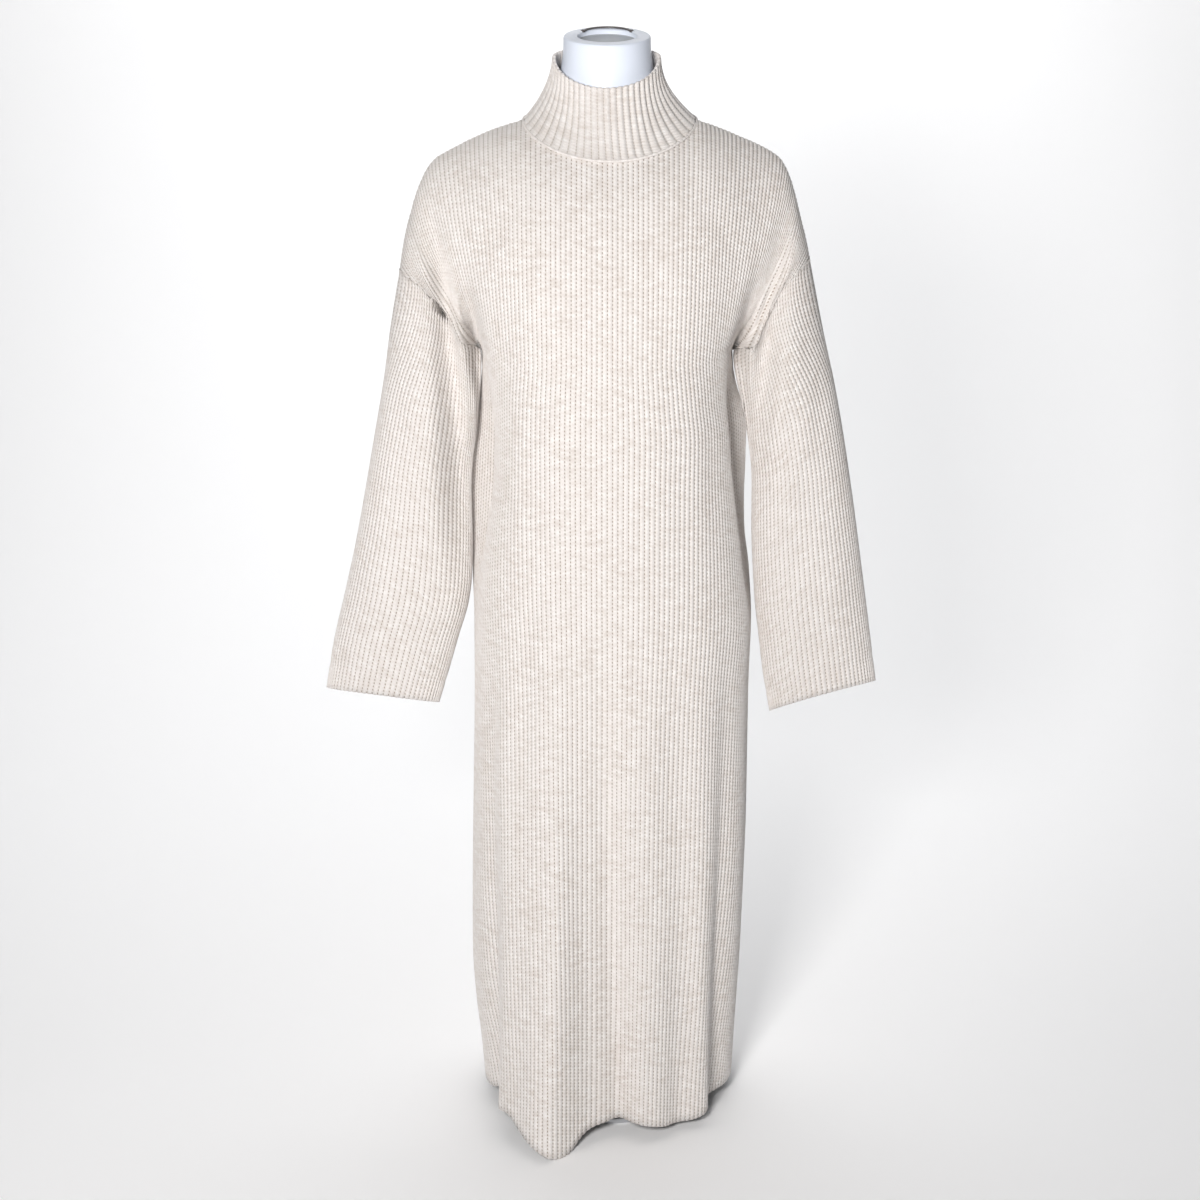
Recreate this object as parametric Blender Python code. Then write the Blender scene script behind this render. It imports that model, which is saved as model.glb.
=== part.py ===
"""A ribbed sweater dress worn by a white limbless dress form on a short pole and a round base.

Lengths in the tables are millimetres. X runs to the viewer's right, the front faces -Y and Z is up from the floor.
"""

import math

import bmesh
import bpy
import numpy as np

MM = 0.001

# ---- cloth ----
CLOTH_WALL = 2.4
SEAM_GAP = 0.3
COLLAR_WALL = 4.2
COLLAR_LIFT = 0.6
UNDERARM = 889.0
HEM = 20.0
NECK_HALF = 92.0
NECK_HEIGHT = 1136.0
TOP_HALF = 321.0
SKIRT_HALF = 257.0
ROLL_POWER = 2.2

# Neckline: how far it comes forward and drops at the middle of each panel.
NECKLINE = {"front": {"reach": 75.0, "rise": -39.0}, "back": {"reach": 60.0, "rise": 8.0}}

# Top edge of a panel past the neck: across, height (mm), from the neck side over the shoulder tip to the armhole.
SHOULDER = {
    "left": ((92, 1136), (132, 1122.5), (175, 1102), (187, 1095), (200, 1077), (211, 1049), (222, 1008), (227, 978)),
    "right": ((92, 1136), (129, 1122), (173, 1102), (184, 1093), (195, 1070), (205, 1034), (212, 1008), (215.5, 991)),
}
SLEEVE_EDGE = {
    "left": ((227, 978), (239.6, 910), (247.4, 855), (258.6, 795), (281, 683), (296, 620), (311, 561), (322.5, 500)),
    "right": ((215.5, 991), (232.5, 912), (243.4, 865), (256.5, 799), (269, 728), (281.5, 650), (292.5, 580), (304, 505)),
}
SLEEVE_INNER = {
    "left": ((157, 978), (139.8, 889), (144.5, 811), (151.3, 763), (153, 728), (152.5, 683), (154, 633), (158, 605),
             (171, 561), (182, 523), (195, 480)),
    "right": ((158, 991), (134.6, 889), (149, 811), (157, 748), (158, 690), (160, 650), (164, 600), (167, 577),
              (174, 523), (183, 473)),
}
# Armhole seam from the shoulder down to the underarm: across, height, as it shows from the front.
ARMHOLE = {
    "left": ((227, 978), (203, 966), (178, 934), (163, 911), (151, 900), (138, 889)),
    "right": ((215.5, 991), (199, 979), (177, 952), (163, 915), (148, 896), (132, 889)),
}
# How deep the cloth stands before and behind the side plane: across, front, back.
DEPTH = ((0, 118, 101), (60, 116, 100), (100, 109, 95), (125, 97, 86), (140, 87, 78), (160, 73, 66), (185, 63, 56),
         (210, 50, 45), (230, 31, 28), (243, 0, 0))

# Creases that cross panels and sleeves: height, across, depth, half width.
CREASES = {
    ("front", "left"): (
        ((1012, 164, 0, 14), (978, 157, 8, 12), (935, 149, 32, 10), (889, 142, 52, 9), (860, 141, 20, 9),
         (835, 141, 0, 9)),
        ((1082, 199, 0, 11), (1045, 192, 9, 12), (978, 181, 25, 13), (934, 177, 33, 13), (889, 172, 35, 14),
         (855, 169, 36, 15), (790, 166, 34, 16), (728, 165, 25, 16), (660, 165, 9, 16), (610, 168, 0, 16)),
    ),
    ("front", "right"): (
        ((1012, 165, 0, 14), (978, 158, 7, 12), (935, 147, 28, 10), (889, 136, 50, 9), (860, 137, 20, 9),
         (835, 139, 0, 9)),
        ((1082, 193, 0, 11), (1045, 187, 7, 12), (978, 177, 19, 13), (934, 171, 26, 13), (889, 165, 30, 14),
         (855, 161, 30, 14), (812, 158, 24, 15), (760, 160, 10, 15), (700, 166, 0, 15)),
    ),
    ("back", "left"): (
        ((1000, 160, 0, 14), (935, 150, 16, 12), (889, 142, 34, 10), (860, 141, 14, 9), (835, 141, 0, 9)),
        ((1060, 200, 0, 14), (978, 186, 14, 14), (889, 176, 24, 15), (790, 175, 18, 16), (680, 180, 0, 16)),
    ),
    ("back", "right"): (
        ((1000, 160, 0, 14), (935, 148, 15, 12), (889, 136, 34, 10), (860, 137, 14, 9), (835, 139, 0, 9)),
        ((1060, 194, 0, 14), (978, 182, 12, 14), (889, 172, 21, 15), (800, 172, 16, 16), (700, 178, 0, 16)),
    ),
}

# Body sections: height, half widths left and right, depths front and back, half widths at the side seams,
# side pleat from 0 to 1, spread of the knit's columns, and how far the side seams lie behind the middle.
BODY = (
    (20, 148, 147, 137, 128, 148, 147, 0.0, 1.06, 0),
    (73, 152, 149, 136, 126, 152, 149, 0.0, 1.06, 0),
    (128, 157.5, 151.5, 135, 124, 157.5, 151.5, 0.0, 1.06, 0),
    (182, 160, 154, 134, 121, 160, 154, 0.0, 1.06, 0),
    (262, 159, 156, 132, 117, 159, 156, 0.0, 1.07, 0),
    (363, 156.5, 158, 130, 113, 156.5, 158, 0.0, 1.08, 0),
    (504, 153, 158, 128, 110, 153, 158, 0.0, 1.10, 2),
    (587, 151.5, 160, 126, 108, 153, 160.5, 0.1, 1.11, 8),
    (640, 147.5, 153.5, 124, 107, 155, 158, 0.4, 1.12, 15),
    (690, 141, 147.5, 123, 106, 155.5, 152, 0.8, 1.12, 19),
    (725, 135.5, 143, 122, 105, 155.5, 151.5, 1.0, 1.13, 20),
    (757, 131.5, 139, 121, 104, 154, 152.5, 1.0, 1.14, 20),
    (805, 131, 135, 120, 103, 147.5, 153, 1.0, 1.17, 19),
    (850, 134, 131, 119, 102, 142.5, 140, 0.7, 1.20, 13),
    (889, 138, 132, 118, 101, 138, 132, 0.0, 1.24, 0),
)
# Skirt folds: across at the start, across at the hem, start height, outward at the hem, widths either side, growth.
FOLDS = {
    "front": (
        (-62, -54, 660, 60, 44, 23, 1.5),
        (-112, -106, 600, 14, 13, 18, 1.3),
        (-130, -130, 640, -9, 9, 9, 1.0),
        (-12, 12, 640, -15, 15, 14, 0.9),
        (36, 48, 600, 7, 26, 26, 1.0),
        (76, 80, 620, -5, 14, 14, 1.0),
        (100, 104, 600, 8, 14, 11, 1.0),
        (130, 129, 640, -15, 11, 11, 1.1),
    ),
    "back": (
        (-104, -108, 620, 12, 20, 24, 1.2),
        (-62, -66, 660, -10, 18, 18, 1.0),
        (-22, -30, 640, 18, 26, 20, 1.3),
        (20, 22, 600, -9, 16, 16, 1.0),
        (62, 70, 680, 20, 24, 30, 1.3),
        (112, 114, 600, -9, 14, 14, 1.0),
    ),
}
# Places where the front hem hangs low or is lifted: across, half width, drop.
HEM_DROPS = ((-62, 30, 17), (-46, 13, 8), (-118, 13, -12), (84, 34, 11))
# Sleeve depth before and behind its middle plane: height, front, back.
SLEEVE_FORWARD = ((480, 6), (600, 8), (700, 11), (800, 12), (860, 6), (889, 0))
SLEEVE_DEPTH = ((480, 23, 22), (520, 26, 25), (600, 35, 33), (700, 44, 41), (800, 52, 47), (889, 58, 51), (991, 60, 52))
CUFF = {"left": {"outer": 503.0, "inner": 485.0, "arch": 6.0}, "right": {"outer": 511.0, "inner": 474.0, "arch": 9.0}}

# Collar rim: middle, half width, reach forward and back, heights.
RIM = {"middle": -3.5, "half": 57.5, "front": 56.0, "back": 53.0, "side_height": 1202.0, "drop": 30.0, "rise": 8.0}
COLLAR_FLARE = 2.05
NECK_ROUND = 0.7
NECK_FALL = 1.25
BAND_RADIUS = 1.7

# ---- form ----
FORM_CLEAR = 2.8
# Torso below the shoulders: height, half width, front, back.
TORSO = ((500, 96, 78, 76), (504, 112, 90, 88), (516, 122, 99, 97), (545, 129, 104, 101), (600, 131, 106, 101),
         (660, 122, 98, 91), (720, 108, 86, 80), (770, 101, 82, 78), (830, 110, 95, 85), (889, 122, 110, 93),
         (935, 134, 114, 96), (965, 150, 114, 96), (1000, 170, 114, 96), (1040, 181, 114, 96), (1075, 184, 114, 96))
# Neck: height, half width, front, back, middle.
NECK = ((1060, 64, 52, 46, 0), (1097, 70, 60, 48, 0), (1112, 70, 57, 50, 0), (1131, 68, 52, 50, -0.5),
        (1142, 64, 50, 49, -1.5), (1155, 57, 47.5, 47, -2.5), (1172, 52, 46.5, 46, -3),
        (1190, 48.5, 45.8, 45.2, -3), (1206, 46.5, 45.5, 45, -3), (1216, 46, 45.5, 45, -3))
CAP_TILT = 0.18
CAP_HEIGHT = 1221.5
CAP = ((1.0, -2.6), (0.99, -0.9), (0.97, -0.2), (0.94, 0.0), (0.69, 0.0), (0.665, -0.8), (0.65, -6.0), (0.35, -6.4))
POLE_RADIUS = 11.0
BASE_RADIUS = 100.0
BASE_THICK = 7.0

WHITE_PLASTIC = (0.80, 0.84, 0.90, 1.0)
DARK_STRAP = (0.10, 0.09, 0.09, 1.0)
OATMEAL = (0.76, 0.71, 0.65, 1.0)
STEEL = (0.62, 0.63, 0.65, 1.0)


def clear_scene():
    """Remove what a new file holds."""
    for thing in list(bpy.data.objects):
        bpy.data.objects.remove(thing, do_unlink=True)


def curve(at, knots, values):
    """Monotone cubic through the knots, held flat past both ends."""
    k = np.asarray(knots, float)
    v = np.asarray(values, float)
    x = np.clip(np.asarray(at, float), k[0], k[-1])
    step = np.diff(k)
    rise = np.diff(v) / step
    slope = np.empty_like(v)
    both = rise[:-1] * rise[1:]
    total = rise[:-1] + rise[1:]
    slope[1:-1] = np.where(both > 0, 2 * both / np.where(total == 0, 1, total), 0)
    slope[0] = rise[0]
    slope[-1] = rise[-1]
    i = np.clip(np.searchsorted(k, x, side="right") - 1, 0, len(step) - 1)
    t = (x - k[i]) / step[i]
    h = step[i]
    return (
        (2 * t**3 - 3 * t**2 + 1) * v[i]
        + (t**3 - 2 * t**2 + t) * h * slope[i]
        + (3 * t**2 - 2 * t**3) * v[i + 1]
        + (t**3 - t**2) * h * slope[i + 1]
    )


def by_height(table, column, at):
    """One column of a table whose rows start with a height."""
    rows = sorted(table, key=lambda row: row[0])
    return curve(at, [r[0] for r in rows], [r[column] for r in rows])


def across_at(table, at):
    """Across value at a height, from rows of across and height."""
    rows = sorted(table, key=lambda row: row[1])
    return curve(at, [r[1] for r in rows], [r[0] for r in rows])


def ease(t):
    """Smooth step from 0 to 1."""
    t = np.clip(t, 0, 1)
    return t * t * (3 - 2 * t)


def outline_height(side, across):
    """Height of the shoulder and upper sleeve outline over a place across."""
    rows = list(SHOULDER[side])
    edge = SLEEVE_EDGE[side]
    low = float(across_at(edge, UNDERARM))
    rows += [edge[1], (low, UNDERARM)]
    return curve(across, [r[0] for r in rows], [r[1] for r in rows])


def creases(face, side, across, height):
    """Depth of the arm creases at a place."""
    total = np.zeros(np.broadcast(across, height).shape)
    for table in CREASES[(face, side)]:
        middle = by_height(table, 1, height)
        deep = by_height(table, 2, height)
        wide = by_height(table, 3, height)
        total = total + deep * np.exp(-(((across - middle) / wide) ** 2))
    return total


def yoke_depth(face, side, across, height):
    """How far the upper panel stands from the side plane."""
    edge = float(across_at(SLEEVE_EDGE[side], UNDERARM))
    stretched = np.where(across > 150, 150 + (across - 150) * (243 - 150) / (edge - 150), across)
    column = 1 if face == "front" else 2
    flat = curve(stretched, [r[0] for r in DEPTH], [r[column] for r in DEPTH])
    top = outline_height(side, across)
    if face == "back":
        top = top + 30 * ease(1.15 - across / NECK_HALF)
    t = np.clip((height - UNDERARM) / np.maximum(top - UNDERARM, 1), 0, 1)
    roll = (1 - t**ROLL_POWER) ** (1 / ROLL_POWER)
    dent = creases(face, side, across, height)
    return np.maximum(flat - dent, flat * 0.15) * roll


def top_edge(face, side, along):
    """Point of a panel's top edge: across, depth, height, for a distance along the cloth from the middle."""
    along = np.asarray(along, float)
    swing = np.arcsin(np.clip(along / NECK_HALF, 0, 1))
    line = NECKLINE[face]
    neck_depth = line["reach"] * np.cos(swing) ** NECK_ROUND
    neck_height = NECK_HEIGHT + line["rise"] * np.cos(swing) ** NECK_FALL
    rows = np.array(SHOULDER[side], float)
    steps = np.concatenate([[0], np.cumsum(np.hypot(*np.diff(rows, axis=0).T))])
    place = np.clip((along - NECK_HALF) / (TOP_HALF - NECK_HALF), 0, 1) * steps[-1]
    x = curve(place, steps, rows[:, 0])
    z = curve(place, steps, rows[:, 1])
    on_neck = along < NECK_HALF
    return np.where(on_neck, along, x), np.where(on_neck, neck_depth, 0.0), np.where(on_neck, neck_height, z)


def armhole(side, part):
    """Armhole seam seen from the front, 0 at the underarm and 1 at the shoulder."""
    rows = np.array(ARMHOLE[side][::-1], float)
    steps = np.concatenate([[0], np.cumsum(np.hypot(*np.diff(rows, axis=0).T))])
    place = np.clip(part, 0, 1) * steps[-1]
    return curve(place, steps, rows[:, 0]), curve(place, steps, rows[:, 1])


def half_section(face, side, height, count=260):
    """Half of a body section from the middle to the side seam: across and depth."""
    wide = float(by_height(BODY, 1 if side == "left" else 2, height))
    deep = float(by_height(BODY, 3 if face == "front" else 4, height))
    seam = float(by_height(BODY, 5 if side == "left" else 6, height))
    pleat = float(by_height(BODY, 7, height))
    power = 2 / (2.55 - 0.45 * ease((330 - height) / 300))
    turn = np.linspace(0, math.pi / 2, count)
    x = wide * np.sin(turn) ** power
    y = deep * np.cos(turn) ** power
    sign = -1 if side == "left" else 1
    push = np.zeros(count)
    for top_x, hem_x, start, out, before, after, growth in FOLDS[face]:
        if height >= start:
            continue
        part = (start - height) / (start - HEM)
        middle = top_x + (hem_x - top_x) * part
        away = sign * x - middle
        spread = np.where(away < 0, before, after)
        push += out * part**growth * np.exp(-((away / spread) ** 2))
    push *= ease(y / 34)
    normal = np.stack([np.gradient(y), -np.gradient(x)], 1)
    normal /= -np.linalg.norm(normal, axis=1)[:, None]
    normal[0] = (0, 1)
    x = x + push * normal[:, 0]
    y = y + push * normal[:, 1]
    x = x - 8 * pleat * np.exp(-(((y - 29) / 10) ** 2))
    x = x + (seam - wide) * ease(1 - y / 26)
    lag = float(by_height(BODY, 9, height)) * (-1 if face == "front" else 1)
    return x, y + lag * ease(1 - y / 48)


def section_points(face, side, height, parts):
    """Points of a half section at the given parts of the panel's half width."""
    x, y = half_section(face, side, height)
    steps = np.concatenate([[0], np.cumsum(np.hypot(np.diff(x), np.diff(y)))])
    spread = float(by_height(BODY, 8, height))
    parts = np.asarray(parts, float)
    place = (spread * parts - (spread - 1) * parts**3) * steps[-1]
    return np.interp(place, steps, x), np.interp(place, steps, y)


def hem_drop(face, across):
    """How far the hem hangs below its level, signed across."""
    if face == "back":
        return 2.0 * np.sin(across / 31)
    drop = -1.0
    for middle, wide, low in HEM_DROPS:
        drop = drop + low * np.exp(-(((across - middle) / wide) ** 2))
    return drop


def yoke_points(face, side, along, part):
    """Points of the upper panel: along the cloth from the middle, part of the way from the top edge down."""
    along, part = np.broadcast_arrays(np.asarray(along, float), np.asarray(part, float))
    x0, y0, z0 = top_edge(face, side, along)
    reach = np.clip(along / SKIRT_HALF, 0, 1)
    x1, y1 = section_points(face, side, UNDERARM, reach)
    z1 = np.full(along.shape, UNDERARM)
    past = (along - SKIRT_HALF) / (TOP_HALF - SKIRT_HALF)
    seam_x, seam_z = armhole(side, past)
    on_seam = past > 0
    x1 = np.where(on_seam, seam_x, x1)
    z1 = np.where(on_seam, seam_z, z1)
    span = np.where(on_seam, 1 - np.clip(past, 0, 1), 1.0)
    p = np.clip(np.where(span > 1e-6, part / np.maximum(span, 1e-6), 1.0), 0, 1)
    power = 1.15 + 0.5 * ease((along - 66) / 40)
    w = p**power
    bow = 5 * ease((along - 120) / 80) * ease((TOP_HALF - along) / 90) * np.sin(math.pi * w)
    x = x0 + (x1 - x0) * w + bow
    z = z0 + (z1 - z0) * w
    keep = np.exp(-((np.maximum(along - SKIRT_HALF, 0) / 9) ** 2))
    y1 = np.where(on_seam, 0.0, y1)
    fix_top = y0 - yoke_depth(face, side, x0, z0)
    fix_low = (y1 - yoke_depth(face, side, x1, z1)) * keep
    y = yoke_depth(face, side, x, z) + fix_top * (1 - p) ** 5 + fix_low * p**4
    return x, y, z


def skirt_points(face, side, part, down):
    """Points of the body and skirt: part of the half width, part of the way from underarm to hem."""
    x_hem, _ = section_points(face, side, HEM, part)
    sign = -1 if side == "left" else 1
    drop = hem_drop(face, sign * x_hem) * ease((down - 0.55) / 0.45)
    height = UNDERARM + (HEM - UNDERARM) * down
    x, y = section_points(face, side, height, part)
    return x, y, height - drop


def place(face, side, x, y, z):
    """World point rows from across, depth and height."""
    sign_x = -1 if side == "left" else 1
    sign_y = -1 if face == "front" else 1
    return np.stack(np.broadcast_arrays(sign_x * x, sign_y * y, z), -1)


# Columns of a half panel, as distance along the cloth at the top edge and at the underarm.
TOP_COLUMNS = (0, 24, 46, 65, 80, 89, 92, 112, 134, 156, 173, 186, 198, 213, 231, 251, 273, 297, 321)
LOW_COLUMNS = (0, 18, 36, 54, 72, 90, 107, 124, 141, 158, 175, 190, 201, 211, 221, 230, 239, 248, 257)
YOKE_ROWS = (0, 0.05, 0.14, 0.27, 0.42, 0.57, 0.71, 0.84, 0.93, 1.0)
SKIRT_HEIGHTS = (862, 830, 790, 740, 685, 625, 560, 475, 380, 285, 195, 115, 60, 20)


def half_panel(face, side):
    """Grid of points for half a panel, rows from the top edge to the hem."""
    top = np.array(TOP_COLUMNS, float)
    low = np.array(LOW_COLUMNS, float)
    rows = []
    for part in YOKE_ROWS:
        along = top + (low - top) * part
        limit = TOP_HALF - (TOP_HALF - SKIRT_HALF) * part
        rows.append(place(face, side, *yoke_points(face, side, np.minimum(along, limit), part)))
    for height in SKIRT_HEIGHTS:
        down = (UNDERARM - height) / (UNDERARM - HEM)
        rows.append(place(face, side, *skirt_points(face, side, low / SKIRT_HALF, down)))
    return np.array(rows)


def panel_grid(face):
    """Grid of a whole panel from the left seam to the right seam, pulled back from the seams."""
    left = half_panel(face, "left")[:, ::-1]
    right = half_panel(face, "right")[:, 1:]
    grid = np.concatenate([left, right], 1)
    back = -1 if face == "front" else 1
    half = SEAM_GAP / 2
    for edge in (0, -1):
        grid[len(YOKE_ROWS) - 1:, edge, 1] += back * half
    beyond = np.abs(grid[0, :, 0]) > NECK_HALF - 0.5
    grid[0, beyond, 1] = back * half
    return grid


def new_object(name, vertices, faces, colour, roughness, smooth=True):
    """Mesh object with its own material, outward faces."""
    mesh = bpy.data.meshes.new(name)
    mesh.from_pydata([tuple(float(c) * MM for c in v) for v in vertices], [], faces)
    work = bmesh.new()
    work.from_mesh(mesh)
    bmesh.ops.remove_doubles(work, verts=work.verts, dist=0.00002)
    work.to_mesh(mesh)
    work.free()
    for face in mesh.polygons:
        face.use_smooth = smooth
    thing = bpy.data.objects.new(name, mesh)
    collection().objects.link(thing)
    finish = bpy.data.materials.new(name + "_finish")
    finish.use_nodes = True
    shader = finish.node_tree.nodes["Principled BSDF"]
    shader.inputs["Base Color"].default_value = colour
    shader.inputs["Roughness"].default_value = roughness
    mesh.materials.append(finish)
    return thing


def collection():
    """The object's own collection."""
    name = "sweater_dress_on_form"
    found = bpy.data.collections.get(name)
    if found is None:
        found = bpy.data.collections.new(name)
        bpy.context.scene.collection.children.link(found)
    return found


def grid_faces(rows, columns, around=False, flip=False):
    """Quads of a grid of points."""
    faces = []
    last = columns if around else columns - 1
    for i in range(rows - 1):
        for j in range(last):
            k = (j + 1) % columns
            quad = (i * columns + j, (i + 1) * columns + j, (i + 1) * columns + k, i * columns + k)
            faces.append(quad[::-1] if flip else quad)
    return faces


def grid_normals(grid, around):
    """Outward unit normals of a grid of points."""
    down = np.gradient(grid, axis=0)
    if around:
        along = (np.roll(grid, -1, axis=1) - np.roll(grid, 1, axis=1)) / 2
    else:
        along = np.gradient(grid, axis=1)
    normal = np.cross(down, along)
    length = np.linalg.norm(normal, axis=2, keepdims=True)
    return normal / np.maximum(length, 1e-9)


def unit(vectors):
    """Vectors of length one."""
    return vectors / np.maximum(np.linalg.norm(vectors, axis=-1, keepdims=True), 1e-9)


def build_shell(name, outer, normals, wall, around=False):
    """A wall of cloth: the outer grid, the same grid moved inward, and the edges between them."""
    inner = outer - normals * wall
    rows, columns = outer.shape[:2]
    size = rows * columns
    faces = grid_faces(rows, columns, around)
    faces += [tuple(size + k for k in face[::-1]) for face in grid_faces(rows, columns, around)]
    last = columns if around else columns - 1
    for j in range(last):
        k = (j + 1) % columns
        faces.append((j, k, size + k, size + j))
        a = (rows - 1) * columns + j
        b = (rows - 1) * columns + k
        faces.append((b, a, size + a, size + b))
    if not around:
        for i in range(rows - 1):
            a = i * columns
            b = (i + 1) * columns
            faces.append((b, a, size + a, size + b))
            a += columns - 1
            b += columns - 1
            faces.append((a, b, size + b, size + a))
    return new_object(name, np.concatenate([outer, inner]).reshape(-1, 3), faces, OATMEAL, 0.9)


def armhole_normals(face, side, around):
    """Outward normals of the panel along the armhole seam, 0 at the shoulder and 1 at the underarm."""
    span = TOP_HALF - SKIRT_HALF
    along = SKIRT_HALF + span * (1 - np.clip(np.asarray(around, float), 0.03, 0.97))
    part = (TOP_HALF - along) / span
    here = place(face, side, *yoke_points(face, side, along, part))
    inward = place(face, side, *yoke_points(face, side, along - 4, part))
    above = place(face, side, *yoke_points(face, side, along, part - 0.03))
    normal = unit(np.cross(here - above, here - inward))
    outward = -1 if face == "front" else 1
    return normal * np.sign(normal[:, 1:2] * outward + 1e-9)


def panel_normals(face, grid):
    """Normals of a panel, lying in the seam's own plane along its seams."""
    normals = grid_normals(grid, False)
    middle = grid.shape[1] // 2
    if (normals[8, middle, 1] > 0) == (face == "front"):
        normals = -normals
    columns = grid.shape[1]
    low = len(YOKE_ROWS) - 1
    shoulder = np.abs(grid[0, :, 0]) > NECK_HALF - 0.5
    flat = np.gradient(grid[0], axis=0)
    upward = unit(np.stack([-flat[:, 2], np.zeros(columns), flat[:, 0]], -1))
    for column, outward, side in ((0, -1, "left"), (-1, 1, "right")):
        normals[low:, column] = unit(normals[low:, column] * np.array([1, 0, 1]))
        normals[low, column] = (outward, 0, 0)
        around = np.array(YOKE_ROWS[:low])
        normals[:low, column] = armhole_normals(face, side, around)
        upward[column] = unit(upward[column] + np.array([outward, 0, 0]))
    normals[0, shoulder] = upward[shoulder]
    return normals


def build_panel(face, name):
    """Front or back of the dress."""
    grid = panel_grid(face)
    normals = panel_normals(face, grid)
    if face == "back":
        grid = grid[:, ::-1]
        normals = normals[:, ::-1]
    build_shell(name, grid, normals, CLOTH_WALL)


def sleeve_depth(face, side, share, height, across):
    """Depth of the sleeve from its middle plane at a share of its width."""
    deep = by_height(SLEEVE_DEPTH, 1 if face == "front" else 2, height)
    power = 2.3
    round_off = np.clip(1 - np.abs(2 * share - 1) ** power, 0, 1) ** (1 / power)
    full = deep * round_off
    return np.maximum(full - creases(face, side, across, height), full * 0.12)


def sleeve_half(face, side, around, down):
    """Points of the front or back half of a sleeve: around 0 at the outer edge and 1 at the inner."""
    around, down = np.broadcast_arrays(np.asarray(around, float), np.asarray(down, float))
    seam_x, seam_z = armhole(side, 1 - around)
    past = SKIRT_HALF + (TOP_HALF - SKIRT_HALF) * (1 - around)
    _, seam_y, _ = yoke_points(face, side, past, (TOP_HALF - past) / (TOP_HALF - SKIRT_HALF))
    outer = across_at(SLEEVE_EDGE[side], seam_z)
    inner = across_at(SLEEVE_INNER[side], seam_z)
    seam_share = np.clip((outer - seam_x) / (outer - inner), 0, 1)
    full_share = (1 - np.cos(math.pi * around)) / 2
    share = seam_share + (full_share - seam_share) * ease(down / 0.28)
    cuff = CUFF[side]["outer"] + (CUFF[side]["inner"] - CUFF[side]["outer"]) * full_share
    cuff = cuff + CUFF[side]["arch"] * np.sin(math.pi * around)
    z = seam_z + (cuff - seam_z) * down
    outer = across_at(SLEEVE_EDGE[side], z)
    inner = across_at(SLEEVE_INNER[side], z)
    x = outer + (inner - outer) * share
    fix = seam_y - sleeve_depth(face, side, seam_share, seam_z, outer + (inner - outer) * seam_share)
    forward = by_height(SLEEVE_FORWARD, 1, z) * (1 if face == "front" else -1)
    y = sleeve_depth(face, side, share, z, x) + fix * (1 - down) ** 7 + forward
    return x, y, z


SLEEVE_ROWS = (0, 0.05, 0.11, 0.18, 0.27, 0.37, 0.47, 0.58, 0.7, 0.81, 0.91, 1.0)
SLEEVE_START = 0.003
SLEEVE_SLACK = 0.006


def sleeve_grid(side):
    """Closed rings of a sleeve from the armhole to the cuff."""
    around = np.array(YOKE_ROWS)
    rings = []
    for down in SLEEVE_ROWS:
        start = np.maximum(down, SLEEVE_START + SLEEVE_SLACK * ease((around - 0.15) / 0.3))
        front = place("front", side, *sleeve_half("front", side, around, start))
        behind = place("back", side, *sleeve_half("back", side, around, start))
        rings.append(np.concatenate([front, behind[-2:0:-1]]))
    return np.array(rings), around


def build_sleeve(side):
    """One sleeve."""
    grid, around = sleeve_grid(side)
    normals = grid_normals(grid, True)
    middle = grid.mean(axis=1, keepdims=True)
    normals *= np.sign(np.sum(normals * (grid - middle)))
    shared = around < 0.86
    count = len(around)
    normals[0, :count][shared] = armhole_normals("front", side, around)[shared]
    behind = armhole_normals("back", side, around)[1:-1][::-1]
    normals[0, count:][shared[1:-1][::-1]] = behind[shared[1:-1][::-1]]
    edge = unit(normals[0, 0] * np.array([1, 0, 1]))
    normals[:, 0] = unit(normals[:, 0] * np.array([1, 0, 1]))
    normals[0, 0] = edge
    if side == "right":
        grid = grid[:, ::-1]
        normals = normals[:, ::-1]
    build_shell("sleeve_" + side, grid, normals, CLOTH_WALL, around=True)


def neckline(turn):
    """Neckline point at an angle round the neck, 0 at the front."""
    c = np.cos(turn)
    line_front = NECKLINE["front"]
    line_back = NECKLINE["back"]
    bulge = np.abs(c) ** NECK_ROUND
    y = np.where(c > 0, -line_front["reach"] * bulge, line_back["reach"] * bulge)
    fall = np.abs(c) ** NECK_FALL
    z = NECK_HEIGHT + np.where(c > 0, line_front["rise"] * fall, line_back["rise"] * fall)
    return np.stack([NECK_HALF * np.sin(turn), y, z], -1)


def collar_outer(turn, up):
    """Outer face of the collar, up 0 at the seam and 1 at the rim."""
    base = neckline(turn)
    c = np.cos(turn)
    rim_x = RIM["middle"] + RIM["half"] * np.sin(turn)
    rim_y = np.where(c > 0, -RIM["front"] * c, -RIM["back"] * c)
    rim_z = RIM["side_height"] - np.where(c > 0, RIM["drop"] * c, RIM["rise"] * c)
    part = (1 - up) ** COLLAR_FLARE
    x = rim_x + (base[..., 0] - rim_x) * part
    y = rim_y + (base[..., 1] - rim_y) * part
    z = base[..., 2] + COLLAR_LIFT + (rim_z - base[..., 2] - COLLAR_LIFT) * up
    return np.stack([x, y, z], -1)


def collar_profile(turn):
    """Closed profile of the doubled collar at an angle."""
    ups = np.array([0, 0.12, 0.3, 0.55, 0.8, 0.96])
    outer = [collar_outer(turn, u) for u in ups]
    inward = -np.array([math.sin(turn), -math.cos(turn), 0.0])
    inner = [p + inward * COLLAR_WALL for p in outer]
    top = []
    for angle in (40, 90, 140):
        a = math.radians(angle)
        middle = (outer[-1] + inner[-1]) / 2
        top.append(middle - inward * math.cos(a) * COLLAR_WALL / 2 + np.array([0, 0, math.sin(a) * COLLAR_WALL / 2]))
    return np.array(outer + top + inner[::-1])


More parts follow.
